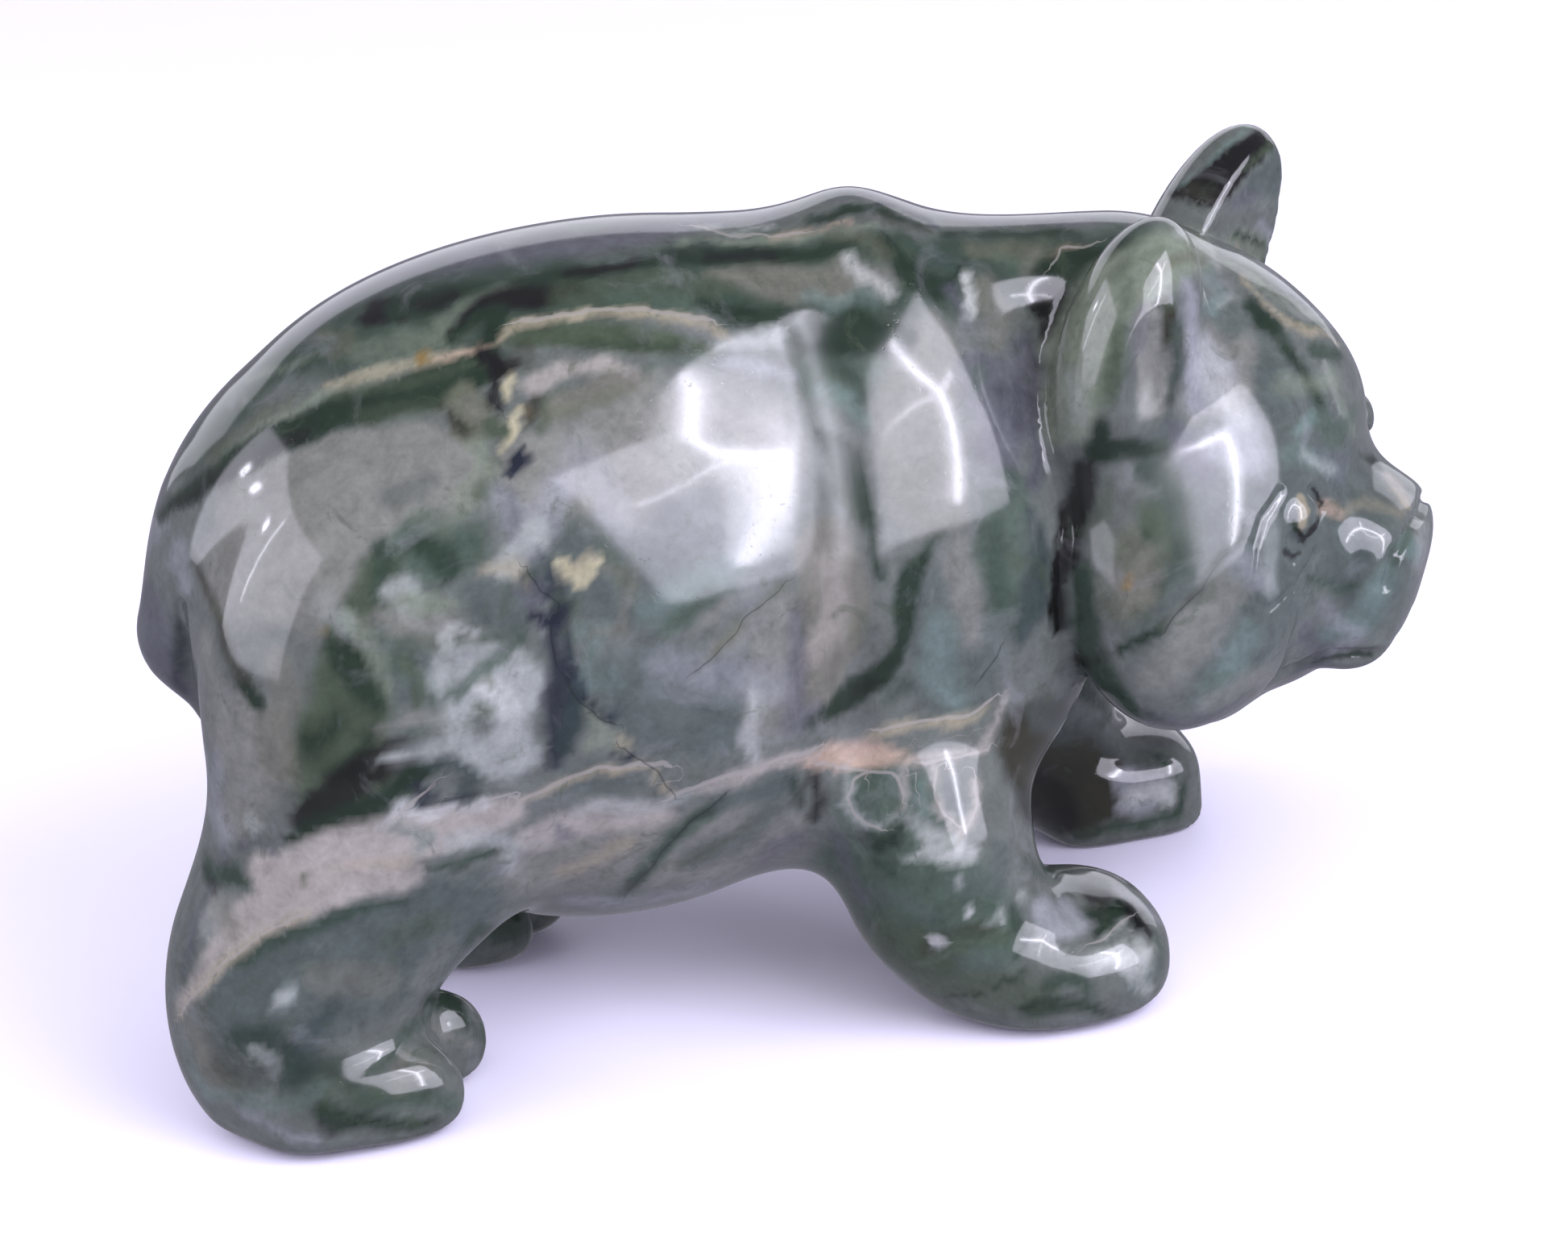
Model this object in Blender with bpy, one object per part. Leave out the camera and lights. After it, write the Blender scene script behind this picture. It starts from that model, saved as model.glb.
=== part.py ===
"""A panda carved from one piece of polished green and grey stone, walking with its head turned to its right.

+X is forward, +Z is up and the animal's right side faces -Y. The origin is on the floor, under the middle of
the figure. Real sizes are in metres. The pose, the proportions and the carving are shares of the figure's
length, so that the carving keeps its form at any length.
"""

import math

import bmesh
import bpy
import numpy as np
from mathutils import Euler, Matrix, Vector

# Real sizes, in metres.
FIGURE_LENGTH = 0.1113
SOLE_EDGE = 0.0018
GRAIN = 0.0009

# Faces left after the carved form is thinned.
FACE_COUNT = 9400

# The stone's main colour, as linear light, and its polish.
STONE_COLOUR = (0.115, 0.150, 0.135, 1.0)
STONE_ROUGHNESS = 0.18

# The figure is this many design units long, and its footprint's middle lies here in those units.
UNITS_LONG = 1.05705
MIDDLE = (0.0209, -0.0064)

# Masses, in design units: centre, radii, tilt about the width in degrees, squareness (2 is an ellipsoid) and
# the softness with which each flows into those before it.
TRUNK = {
    "belly": ((-0.125, 0.000, 0.347), (0.286, 0.239, 0.267), 0, 2.0, 0.000),
    "rump": ((-0.256, 0.000, 0.389), (0.209, 0.200, 0.187), 0, 2.0, 0.080),
    "chest": ((0.106, 0.000, 0.398), (0.077, 0.127, 0.226), 0, 2.0, 0.070),
    "spine": ((-0.078, 0.000, 0.535), (0.247, 0.121, 0.087), 0, 2.0, 0.060),
    "hump": ((0.152, 0.000, 0.534), (0.098, 0.075, 0.052), 0, 2.0, 0.070),
    "neck": ((0.296, -0.011, 0.421), (0.162, 0.140, 0.162), 0, 2.0, 0.070),
}
HIND_RIGHT = {
    "thigh": ((-0.309, -0.129, 0.313), (0.142, 0.100, 0.198), 0, 2.0, 0.000),
    "hock": ((-0.404, -0.131, 0.120), (0.101, 0.083, 0.149), -12, 2.0, 0.060),
    "foot": ((-0.388, -0.149, 0.037), (0.082, 0.080, 0.050), 0, 2.5, 0.016),
}
HIND_LEFT = {
    "thigh": ((-0.240, 0.125, 0.310), (0.130, 0.095, 0.180), 0, 2.0, 0.000),
    "hock": ((-0.272, 0.135, 0.150), (0.110, 0.085, 0.135), -12, 2.0, 0.060),
    "foot": ((-0.276, 0.143, 0.034), (0.084, 0.080, 0.050), 0, 2.5, 0.016),
}
FORE_RIGHT = {
    "shoulder": ((0.099, -0.087, 0.339), (0.200, 0.105, 0.193), 0, 2.0, 0.000),
    "forearm": ((0.097, -0.154, 0.129), (0.078, 0.082, 0.119), 12, 2.0, 0.070),
    "paw": ((0.187, -0.160, 0.037), (0.087, 0.092, 0.052), 0, 2.5, 0.050),
}
FORE_LEFT = {
    "shoulder": ((0.200, 0.112, 0.330), (0.110, 0.098, 0.200), 0, 2.0, 0.000),
    "forearm": ((0.241, 0.138, 0.156), (0.090, 0.080, 0.142), 12, 2.0, 0.070),
    "paw": ((0.330, 0.147, 0.026), (0.070, 0.077, 0.056), 0, 4.0, 0.036),
}
LEG_FLOW = {"hind": 0.030, "fore": 0.067}

# Toes of a hind foot: forward of the foot's centre, outward of it, up from it, then the toe's radii.
TOES = (
    ((0.042, 0.042, -0.006), (0.050, 0.034, 0.040)),
    ((0.066, -0.026, 0.000), (0.056, 0.030, 0.044)),
    ((0.040, -0.070, -0.006), (0.044, 0.024, 0.038)),
)
TOE_SQUARENESS = 2.2
TOE_FLOW = 0.012

# The tail hangs against the rump: its root, its end and its radii there.
TAIL_ROOT = (-0.399, 0.000, 0.452)
TAIL_END = (-0.426, 0.000, 0.360)
TAIL_RADII = (0.050, 0.055)
TAIL_FLOW = 0.012
TAIL_SLOT = ((-0.436, 0.066, 0.405), (-0.446, 0.066, 0.370), (-0.448, 0.058, 0.335), (-0.446, 0.040, 0.305))
TAIL_SLOT_CUT = (0.012, 0.022)

# The head has a frame of its own: its centre, its turn about the vertical and its nod, in degrees.
HEAD_CENTRE = (0.371, -0.019, 0.377)
HEAD_TURN = -31.5
HEAD_NOD = -16.6
HEAD_FLOW = 0.014
HEAD = {
    "skull": ((-0.022, 0.000, 0.054), (0.139, 0.102, 0.108), 0, 2.0, 0.000),
    "right cheek": ((0.056, -0.067, -0.054), (0.071, 0.095, 0.136), 0, 2.0, 0.060),
    "left cheek": ((0.056, 0.067, -0.054), (0.071, 0.095, 0.136), 0, 2.0, 0.060),
}

# The broad right side of the face: centre, radii, yaw, nod and softness. It is mirrored to the left.
FACE_SIDE = ((0.000, -0.110, -0.008), (0.089, 0.099, 0.170), -50.7, 34.0, 0.049)
MUZZLE = {
    "muzzle": ((0.121, 0.000, -0.052), (0.077, 0.082, 0.076), 0, 3.2, 0.000),
    "chin": ((0.084, 0.000, -0.136), (0.050, 0.053, 0.032), 0, 2.0, 0.040),
}
MUZZLE_FLOW = 0.035
NOSE = ((0.145, 0.000, -0.054), (0.028, 0.036, 0.031), 0, 2.0, 0.030)

# Ears: centre, radii, lean outward in degrees and softness. The right one has a hollow; the left one is cut
# flat in front: the way the cut faces, its distance from the ear's centre and its softness.
RIGHT_EAR = ((-0.056, -0.136, 0.120), (0.052, 0.066, 0.108), 16, 0.040)
RIGHT_HOLLOW = ((-0.020, -0.212, 0.138), (0.026, 0.042, 0.068), 16, 0.004)
LEFT_EAR = ((-0.051, 0.132, 0.081), (0.060, 0.055, 0.147), 34.3, 0.014)
LEFT_CUT = ((0.890, -0.409, 0.203), 0.019, 0.004)

# Engraved lines on the near side of the head, in the head's frame; each is mirrored to the other side.
EYE = (0.107, -0.119, 0.026)
EYE_SIZE = (0.017, 0.009)
FACE_LINES = {
    "eyelid": (((0.106, -0.104, 0.043), (0.117, -0.092, 0.025), (0.116, -0.109, 0.012), (0.110, -0.130, 0.008),
                (0.104, -0.137, 0.015)), 0.0048, 0.0065),
    "nose": (((0.182, 0.000, 0.008), (0.180, -0.027, 0.009), (0.177, -0.061, -0.005), (0.177, -0.067, -0.030)),
             0.0050, 0.0060),
    "mouth": (((0.197, 0.000, -0.086), (0.181, -0.050, -0.095), (0.168, -0.065, -0.094), (0.152, -0.071, -0.099),
               (0.127, -0.070, -0.119), (0.115, -0.095, -0.122)), 0.0070, 0.0100),
}

# Soft valleys of the trunk: path, reach and depth.
NECK_CREASE = (((0.274, -0.160, 0.510), (0.278, -0.180, 0.440), (0.286, -0.185, 0.360), (0.298, -0.165, 0.270),
                (0.313, -0.130, 0.215)), 0.069, 0.060)
FLANK_VALLEY = (((0.044, -0.130, 0.560), (0.047, -0.185, 0.490), (0.034, -0.212, 0.410), (0.027, -0.204, 0.250)),
                0.017, 0.012)


def turn(yaw, nod, roll=0.0):
    """The frame turned by yaw about Z, by nod with the nose up, and by roll, as rows of axes to multiply by."""
    return np.array(Euler((math.radians(roll), -math.radians(nod), math.radians(yaw)), "XYZ").to_matrix())


def lump(points, centre, radii, tilt=0.0, power=2.0, lean=0.0, yaw=0.0):
    """About how far each point is from an ellipsoid, or from a squarer one."""
    local = np.abs((points - np.array(centre)) @ turn(yaw, tilt, lean))
    share = local / np.array(radii)
    size = (share ** power).sum(1) ** (1.0 / power) + 1e-9
    slope = (share ** (power - 1.0)) / np.array(radii) / size[:, None] ** (power - 1.0)
    if power == 2.0:
        return size * (size - 1.0) / (np.sqrt(((share / np.array(radii)) ** 2).sum(1)) + 1e-9)
    return (size - 1.0) / (np.sqrt((slope ** 2).sum(1)) + 1e-9)


def limb(points, start, end, radii):
    """How far each point is from a tapered round bar."""
    start = np.array(start)
    run = np.array(end) - start
    along = np.clip((points - start) @ run / (run @ run), 0.0, 1.0)
    return np.linalg.norm(points - start - along[:, None] * run, axis=1) - (radii[0] + (radii[1] - radii[0]) * along)


def flow(first, second, softness):
    """Two forms as one, with a fillet of this softness between them."""
    if softness <= 0.0:
        return np.minimum(first, second)
    near = np.maximum(softness - np.abs(first - second), 0.0) / softness
    return np.minimum(first, second) - near * near * softness * 0.25


def take(form, tool, softness):
    """The form with the tool's shape cut out of it."""
    return -flow(-form, tool, softness)


def gather(points, masses):
    """The masses of one table flowed together in order."""
    form = None
    for centre, radii, tilt, power, softness in masses.values():
        one = lump(points, centre, radii, tilt, power)
        form = one if form is None else flow(form, one, softness)
    return form


def line(points, path, reach, depth):
    """How deep a rounded line along a path is at each point."""
    nearest = np.full(len(points), 1e9)
    for start, end in zip(path[:-1], path[1:]):
        start = np.array(start)
        run = np.array(end) - start
        along = np.clip((points - start) @ run / (run @ run), 0.0, 1.0)
        nearest = np.minimum(nearest, ((points - start - along[:, None] * run) ** 2).sum(1))
    return depth * np.exp(-nearest / reach ** 2)


def across(path):
    """The path mirrored to the other side."""
    return tuple((x, -y, z) for x, y, z in path)


def hind_leg(points, masses, side):
    """Thigh, hock and a foot with toes; side is -1 on the right and 1 on the left."""
    form = flow(lump(points, *masses["thigh"][:4]), lump(points, *masses["hock"][:4]), masses["hock"][4])
    foot = lump(points, *masses["foot"][:4])
    centre = masses["foot"][0]
    for (ahead, outward, up), radii in TOES:
        place = (centre[0] + ahead, centre[1] + side * outward, centre[2] + up)
        foot = flow(foot, lump(points, place, radii, 0.0, TOE_SQUARENESS), TOE_FLOW)
    return flow(form, foot, masses["foot"][4])


def head(points):
    """Skull, cheeks, muzzle and ears, with the ears' hollows cut, in the head's own frame."""
    form = gather(points, HEAD)
    centre, radii, yaw, nod, softness = FACE_SIDE
    form = flow(form, lump(points, centre, radii, nod, yaw=yaw), softness)
    form = flow(form, lump(points, across((centre,))[0], radii, nod, yaw=-yaw), softness)
    form = flow(form, gather(points, MUZZLE), MUZZLE_FLOW)
    form = flow(form, lump(points, *NOSE[:4]), NOSE[4])
    centre, radii, lean, softness = RIGHT_EAR
    form = flow(form, lump(points, centre, radii, lean=-lean), softness)
    centre, radii, lean, softness = RIGHT_HOLLOW
    form = take(form, lump(points, centre, radii, 6.0, lean=-lean), softness)
    centre, radii, lean, softness = LEFT_EAR
    ear = lump(points, centre, radii, lean=-lean)
    faces, reach, edge = LEFT_CUT
    ear = take(ear, reach - (points - np.array(centre)) @ np.array(faces), edge)
    return flow(form, ear, softness)


def carving(points):
    """The whole carving: negative inside the stone, in design units."""
    form = gather(points, TRUNK)
    for masses, side in ((HIND_RIGHT, -1), (HIND_LEFT, 1)):
        form = flow(form, hind_leg(points, masses, side), LEG_FLOW["hind"])
    for masses in (FORE_RIGHT, FORE_LEFT):
        form = flow(form, gather(points, masses), LEG_FLOW["fore"])
    form = form + line(points, *NECK_CREASE) + line(points, *FLANK_VALLEY)
    form = flow(form, limb(points, TAIL_ROOT, TAIL_END, TAIL_RADII), TAIL_FLOW)
    face = (points - np.array(HEAD_CENTRE)) @ turn(HEAD_TURN, HEAD_NOD)
    form = flow(form, head(face), HEAD_FLOW)
    for mirrored in (False, True):
        eye = across((EYE,))[0] if mirrored else EYE
        away = np.linalg.norm(face - np.array(eye), axis=1)
        form = form - EYE_SIZE[1] * np.exp(-(away / EYE_SIZE[0]) ** 4)
        for path, reach, depth in FACE_LINES.values():
            form = form + line(face, across(path) if mirrored else path, reach, depth)
        slot = TAIL_SLOT if mirrored else across(TAIL_SLOT)
        form = form + line(points, slot, *TAIL_SLOT_CUT)
    unit = FIGURE_LENGTH / UNITS_LONG
    return take(form, points[:, 2], SOLE_EDGE / unit)


def add_ball(bm, centre, radii, tilt=0.0, lean=0.0, yaw=0.0, frame=None):
    """One mass as a ball, for the rough blank."""
    size = Matrix.Diagonal((*radii, 1.0))
    place = Matrix.Translation(centre) @ Matrix(turn(yaw, tilt, lean)).to_4x4() @ size
    if frame is not None:
        place = frame @ place
    bmesh.ops.create_icosphere(bm, subdivisions=4, radius=1.0, matrix=place)


def rough_blank():
    """Every mass as a ball, before they are made one."""
    bm = bmesh.new()
    for masses in (TRUNK, HIND_RIGHT, HIND_LEFT, FORE_RIGHT, FORE_LEFT):
        for centre, radii, tilt, power, softness in masses.values():
            add_ball(bm, centre, radii, tilt)
    for masses, side in ((HIND_RIGHT, -1), (HIND_LEFT, 1)):
        centre = masses["foot"][0]
        for (ahead, outward, up), radii in TOES:
            add_ball(bm, (centre[0] + ahead, centre[1] + side * outward, centre[2] + up), radii)
    for share in (0.0, 0.5, 1.0):
        radius = TAIL_RADII[0] + (TAIL_RADII[1] - TAIL_RADII[0]) * share
        add_ball(bm, Vector(TAIL_ROOT).lerp(Vector(TAIL_END), share), (radius,) * 3)
    frame = Matrix.Translation(HEAD_CENTRE) @ Matrix(turn(HEAD_TURN, HEAD_NOD)).to_4x4()
    for masses in (HEAD, MUZZLE):
        for centre, radii, tilt, power, softness in masses.values():
            add_ball(bm, centre, radii, tilt, frame=frame)
    centre, radii, yaw, nod, softness = FACE_SIDE
    add_ball(bm, centre, radii, nod, yaw=yaw, frame=frame)
    add_ball(bm, across((centre,))[0], radii, nod, yaw=-yaw, frame=frame)
    add_ball(bm, NOSE[0], NOSE[1], frame=frame)
    for centre, radii, lean, softness in (RIGHT_EAR, LEFT_EAR):
        add_ball(bm, centre, radii, 0.0, -lean, frame=frame)
    mesh = bpy.data.meshes.new("blank")
    bm.to_mesh(mesh)
    bm.free()
    return mesh


def remade(mesh, voxel):
    """The mesh remade as one even skin."""
    body = bpy.data.objects.new("work", mesh)
    bpy.context.collection.objects.link(body)
    remesh = body.modifiers.new("even skin", "REMESH")
    remesh.mode = "VOXEL"
    remesh.voxel_size = voxel
    remesh.adaptivity = 0.0
    bpy.context.view_layer.update()
    evaluated = body.evaluated_get(bpy.context.evaluated_depsgraph_get())
    result = bpy.data.meshes.new_from_object(evaluated)
    bpy.data.objects.remove(body, do_unlink=True)
    return result


def read_points(mesh):
    """The mesh's points as rows of x, y and z."""
    points = np.empty(len(mesh.vertices) * 3)
    mesh.vertices.foreach_get("co", points)
    return points.reshape(-1, 3)


def slope_of(points, level, step=0.0012):
    """The carving's slope at each point, by small steps."""
    slope = np.empty_like(points)
    for axis in range(3):
        moved = points.copy()
        moved[:, axis] += step
        slope[:, axis] = (carving(moved) - level) / step
    return slope


def carve(mesh, rounds, ease):
    """Moves the mesh's points onto the carving's surface, easing them apart between moves."""
    points = read_points(mesh)
    edges = np.empty(len(mesh.edges) * 2, dtype=np.int64)
    mesh.edges.foreach_get("vertices", edges)
    edges = edges.reshape(-1, 2)
    count = np.bincount(edges.ravel(), minlength=len(points)).astype(float)[:, None]
    for turn_number in range(rounds):
        level = carving(points)
        slope = slope_of(points, level)
        size = (slope ** 2).sum(1) + 1e-9
        step = np.clip(level / size, -0.02, 0.02)
        points = points - slope * step[:, None]
        if turn_number < rounds - 2:
            normal = slope / np.sqrt(size)[:, None]
            middle = np.zeros_like(points)
            for axis in range(3):
                middle[:, axis] = np.bincount(edges[:, 0], points[edges[:, 1], axis], len(points))
                middle[:, axis] += np.bincount(edges[:, 1], points[edges[:, 0], axis], len(points))
            pull = middle / count - points
            pull -= normal * (pull * normal).sum(1)[:, None]
            points = points + pull * ease
    mesh.vertices.foreach_set("co", points.ravel())
    mesh.update()
    return mesh


def thinned(mesh, faces):
    """The mesh with its flatter places thinned out, down to about this many faces."""
    body = bpy.data.objects.new("work", mesh)
    bpy.context.collection.objects.link(body)
    triangles = sum(len(face.vertices) - 2 for face in mesh.polygons)
    thin = body.modifiers.new("thin", "DECIMATE")
    thin.ratio = min(1.0, faces / triangles)
    thin.use_collapse_triangulate = True
    bpy.context.view_layer.update()
    evaluated = body.evaluated_get(bpy.context.evaluated_depsgraph_get())
    result = bpy.data.meshes.new_from_object(evaluated)
    bpy.data.objects.remove(body, do_unlink=True)
    return result


def stone_material():
    """The polished stone's main colour."""
    material = bpy.data.materials.new("stone")
    material.use_nodes = True
    shader = material.node_tree.nodes["Principled BSDF"]
    shader.inputs["Base Color"].default_value = STONE_COLOUR
    shader.inputs["Roughness"].default_value = STONE_ROUGHNESS
    shader.inputs["Metallic"].default_value = 0.0
    return material


def make_panda():
    """Carves the figure and stands it on the floor."""
    unit = FIGURE_LENGTH / UNITS_LONG
    mesh = remade(rough_blank(), 1.6 * GRAIN / unit)
    mesh = carve(mesh, 10, 0.6)
    mesh = remade(mesh, GRAIN / unit)
    mesh = carve(mesh, 6, 0.5)
    points = read_points(mesh)
    points[:, 2] = np.where(points[:, 2] < 0.0006, 0.0, points[:, 2])
    points[:, 0] -= MIDDLE[0]
    points[:, 1] -= MIDDLE[1]
    mesh.vertices.foreach_set("co", (points * unit).ravel())
    mesh.update()
    mesh = thinned(mesh, FACE_COUNT)
    bm = bmesh.new()
    bm.from_mesh(mesh)
    for vert in bm.verts:
        if vert.co.z < 0.00004:
            vert.co.z = 0.0
    bmesh.ops.triangulate(bm, faces=bm.faces)
    bmesh.ops.recalc_face_normals(bm, faces=bm.faces)
    bm.to_mesh(mesh)
    bm.free()
    mesh.name = "panda_carving"
    mesh.shade_smooth()
    mesh.materials.clear()
    mesh.materials.append(stone_material())
    panda = bpy.data.objects.new("panda_carving", mesh)
    bpy.context.collection.objects.link(panda)
    return panda


def main():
    for item in list(bpy.data.objects):
        bpy.data.objects.remove(item, do_unlink=True)
    make_panda()


main()
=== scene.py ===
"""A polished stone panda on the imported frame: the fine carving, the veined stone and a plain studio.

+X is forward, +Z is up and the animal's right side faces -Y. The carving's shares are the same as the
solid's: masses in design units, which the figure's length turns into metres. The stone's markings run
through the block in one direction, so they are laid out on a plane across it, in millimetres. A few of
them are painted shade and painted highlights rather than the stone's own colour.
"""

import math

import bmesh
import bpy
import numpy as np
from bpy.props import FloatProperty, FloatVectorProperty, PointerProperty
from mathutils import Euler, Matrix, Vector, noise


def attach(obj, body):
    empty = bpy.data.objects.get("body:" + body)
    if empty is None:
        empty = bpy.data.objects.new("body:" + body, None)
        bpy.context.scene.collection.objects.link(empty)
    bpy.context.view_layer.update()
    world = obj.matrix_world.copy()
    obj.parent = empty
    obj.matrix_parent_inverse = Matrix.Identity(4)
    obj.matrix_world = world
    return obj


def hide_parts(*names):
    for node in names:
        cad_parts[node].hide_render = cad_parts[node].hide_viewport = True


bl_info = {
    "name": "Polished Stone Panda",
    "version": (1, 0, 0),
    "blender": (4, 5, 0),
    "location": "3D View > Sidebar > Panda",
    "description": "Carves, veins, polishes and lights a stone panda",
    "category": "Object",
}

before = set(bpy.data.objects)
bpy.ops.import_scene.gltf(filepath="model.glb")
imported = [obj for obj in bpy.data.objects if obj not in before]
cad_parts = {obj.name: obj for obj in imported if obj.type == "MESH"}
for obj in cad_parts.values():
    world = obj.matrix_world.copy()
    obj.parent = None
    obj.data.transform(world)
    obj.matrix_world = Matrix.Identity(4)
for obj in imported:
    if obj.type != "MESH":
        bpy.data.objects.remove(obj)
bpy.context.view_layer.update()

# Real sizes, in metres.
FIGURE_LENGTH = 0.1113
SOLE_EDGE = 0.0018

# The figure is this many design units long, and its footprint's middle lies here in those units.
UNITS_LONG = 1.05705
MIDDLE = (0.0209, -0.0064)

# Masses, in design units: centre, radii, tilt about the width in degrees, squareness (2 is an ellipsoid) and
# the softness with which each flows into those before it.
TRUNK = {
    "belly": ((-0.125, 0.000, 0.347), (0.286, 0.239, 0.267), 0, 2.0, 0.000),
    "rump": ((-0.256, 0.000, 0.389), (0.209, 0.200, 0.187), 0, 2.0, 0.080),
    "chest": ((0.106, 0.000, 0.398), (0.077, 0.127, 0.226), 0, 2.0, 0.070),
    "spine": ((-0.078, 0.000, 0.535), (0.247, 0.121, 0.087), 0, 2.0, 0.060),
    "hump": ((0.152, 0.000, 0.534), (0.098, 0.075, 0.052), 0, 2.0, 0.070),
    "neck": ((0.296, -0.011, 0.421), (0.162, 0.140, 0.162), 0, 2.0, 0.070),
}
HIND_RIGHT = {
    "thigh": ((-0.309, -0.129, 0.313), (0.142, 0.100, 0.198), 0, 2.0, 0.000),
    "hock": ((-0.404, -0.131, 0.120), (0.101, 0.083, 0.149), -12, 2.0, 0.060),
    "foot": ((-0.388, -0.149, 0.037), (0.082, 0.080, 0.050), 0, 2.5, 0.016),
}
HIND_LEFT = {
    "thigh": ((-0.240, 0.125, 0.310), (0.130, 0.095, 0.180), 0, 2.0, 0.000),
    "hock": ((-0.272, 0.135, 0.150), (0.110, 0.085, 0.135), -12, 2.0, 0.060),
    "foot": ((-0.276, 0.143, 0.034), (0.084, 0.080, 0.050), 0, 2.5, 0.016),
}
FORE_RIGHT = {
    "shoulder": ((0.099, -0.087, 0.339), (0.200, 0.105, 0.193), 0, 2.0, 0.000),
    "forearm": ((0.097, -0.154, 0.129), (0.078, 0.082, 0.119), 12, 2.0, 0.070),
    "paw": ((0.187, -0.160, 0.037), (0.087, 0.092, 0.052), 0, 2.5, 0.050),
}
FORE_LEFT = {
    "shoulder": ((0.200, 0.112, 0.330), (0.110, 0.098, 0.200), 0, 2.0, 0.000),
    "forearm": ((0.241, 0.138, 0.156), (0.090, 0.080, 0.142), 12, 2.0, 0.070),
    "paw": ((0.330, 0.147, 0.026), (0.070, 0.077, 0.056), 0, 4.0, 0.036),
}
LEG_FLOW = {"hind": 0.030, "fore": 0.067}

# Toes of a hind foot: forward of the foot's centre, outward of it, up from it, then the toe's radii.
TOES = (
    ((0.042, 0.042, -0.006), (0.050, 0.034, 0.040)),
    ((0.066, -0.026, 0.000), (0.056, 0.030, 0.044)),
    ((0.040, -0.070, -0.006), (0.044, 0.024, 0.038)),
)
TOE_SQUARENESS = 2.2
TOE_FLOW = 0.012

# The tail hangs against the rump: its root, its end and its radii there.
TAIL_ROOT = (-0.399, 0.000, 0.452)
TAIL_END = (-0.426, 0.000, 0.360)
TAIL_RADII = (0.050, 0.055)
TAIL_FLOW = 0.012
TAIL_SLOT = ((-0.436, 0.066, 0.405), (-0.446, 0.066, 0.370), (-0.448, 0.058, 0.335), (-0.446, 0.040, 0.305))
TAIL_SLOT_CUT = (0.012, 0.022)

# The head has a frame of its own: its centre, its turn about the vertical and its nod, in degrees.
HEAD_CENTRE = (0.371, -0.019, 0.377)
HEAD_TURN = -31.5
HEAD_NOD = -16.6
HEAD_FLOW = 0.014
HEAD = {
    "skull": ((-0.022, 0.000, 0.054), (0.139, 0.102, 0.108), 0, 2.0, 0.000),
    "right cheek": ((0.056, -0.067, -0.054), (0.071, 0.095, 0.136), 0, 2.0, 0.060),
    "left cheek": ((0.056, 0.067, -0.054), (0.071, 0.095, 0.136), 0, 2.0, 0.060),
}

# The broad right side of the face: centre, radii, yaw, nod and softness. It is mirrored to the left.
FACE_SIDE = ((0.000, -0.110, -0.008), (0.089, 0.099, 0.170), -50.7, 34.0, 0.049)
MUZZLE = {
    "muzzle": ((0.121, 0.000, -0.052), (0.077, 0.082, 0.076), 0, 3.2, 0.000),
    "chin": ((0.084, 0.000, -0.136), (0.050, 0.053, 0.032), 0, 2.0, 0.040),
}
MUZZLE_FLOW = 0.035
NOSE = ((0.145, 0.000, -0.054), (0.028, 0.036, 0.031), 0, 2.0, 0.030)

# Ears: centre, radii, lean outward in degrees and softness. The right one has a hollow, which nods too, in
# degrees. The left one is cut flat in front: the way the cut faces, its distance from the ear's centre and
# its softness.
RIGHT_EAR = ((-0.056, -0.136, 0.120), (0.052, 0.066, 0.108), 16, 0.040)
RIGHT_HOLLOW = ((-0.020, -0.212, 0.138), (0.026, 0.042, 0.068), 16, 0.004)
HOLLOW_NOD = 6.0
LEFT_EAR = ((-0.051, 0.132, 0.081), (0.060, 0.055, 0.147), 34.3, 0.014)
LEFT_CUT = ((0.890, -0.409, 0.203), 0.019, 0.004)

# The right eye in the head's frame: its middle, then its reach and how far it stands out. It is mirrored.
EYE = (0.107, -0.119, 0.026)
EYE_SIZE = (0.017, 0.009)
# Lines cut in the right side of the head, in the head's frame: path, reach and depth. They are mirrored too.
FACE_LINES = {
    "eyelid": (
        ((0.106, -0.104, 0.043), (0.117, -0.092, 0.025), (0.116, -0.109, 0.012), (0.110, -0.130, 0.008),
         (0.104, -0.137, 0.015)), 0.0048, 0.0065),
    "nose": (
        ((0.182, 0.000, 0.008), (0.180, -0.027, 0.009), (0.177, -0.061, -0.005), (0.177, -0.067, -0.030)),
        0.0050, 0.0060),
    "mouth": (
        ((0.197, 0.000, -0.086), (0.181, -0.050, -0.095), (0.168, -0.065, -0.094), (0.152, -0.071, -0.099),
         (0.127, -0.070, -0.119), (0.115, -0.095, -0.122)), 0.0070, 0.0100),
}

# Soft valleys of the trunk: path, reach and depth.
NECK_CREASE = (
    ((0.274, -0.160, 0.510), (0.278, -0.180, 0.440), (0.286, -0.185, 0.360), (0.298, -0.165, 0.270),
     (0.313, -0.130, 0.215)), 0.069, 0.060)
FLANK_VALLEY = (
    ((0.044, -0.130, 0.560), (0.047, -0.185, 0.490), (0.034, -0.212, 0.410), (0.027, -0.204, 0.250)),
    0.017, 0.012)

# Finer lines, also on the right side of the head and mirrored, which the solid doesn't have.
FINE_LINES = {
    "eye patch": (
        ((0.086, -0.134, 0.048), (0.080, -0.155, 0.031), (0.081, -0.168, 0.011), (0.086, -0.176, -0.014),
         (0.096, -0.173, -0.032), (0.105, -0.163, -0.036), (0.111, -0.149, -0.029), (0.114, -0.141, -0.023)),
        0.0032, 0.0030),
    "below the eye": (
        ((0.121, -0.110, -0.006), (0.119, -0.125, -0.016), (0.116, -0.138, -0.027)), 0.0032, 0.0032),
    "corner of the eye": (((0.104, -0.144, 0.006), (0.110, -0.138, -0.003)), 0.0034, 0.0040),
    "behind the muzzle": (
        ((0.127, -0.112, -0.050), (0.123, -0.118, -0.078), (0.114, -0.095, -0.120)), 0.0050, 0.0030),
}

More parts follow.
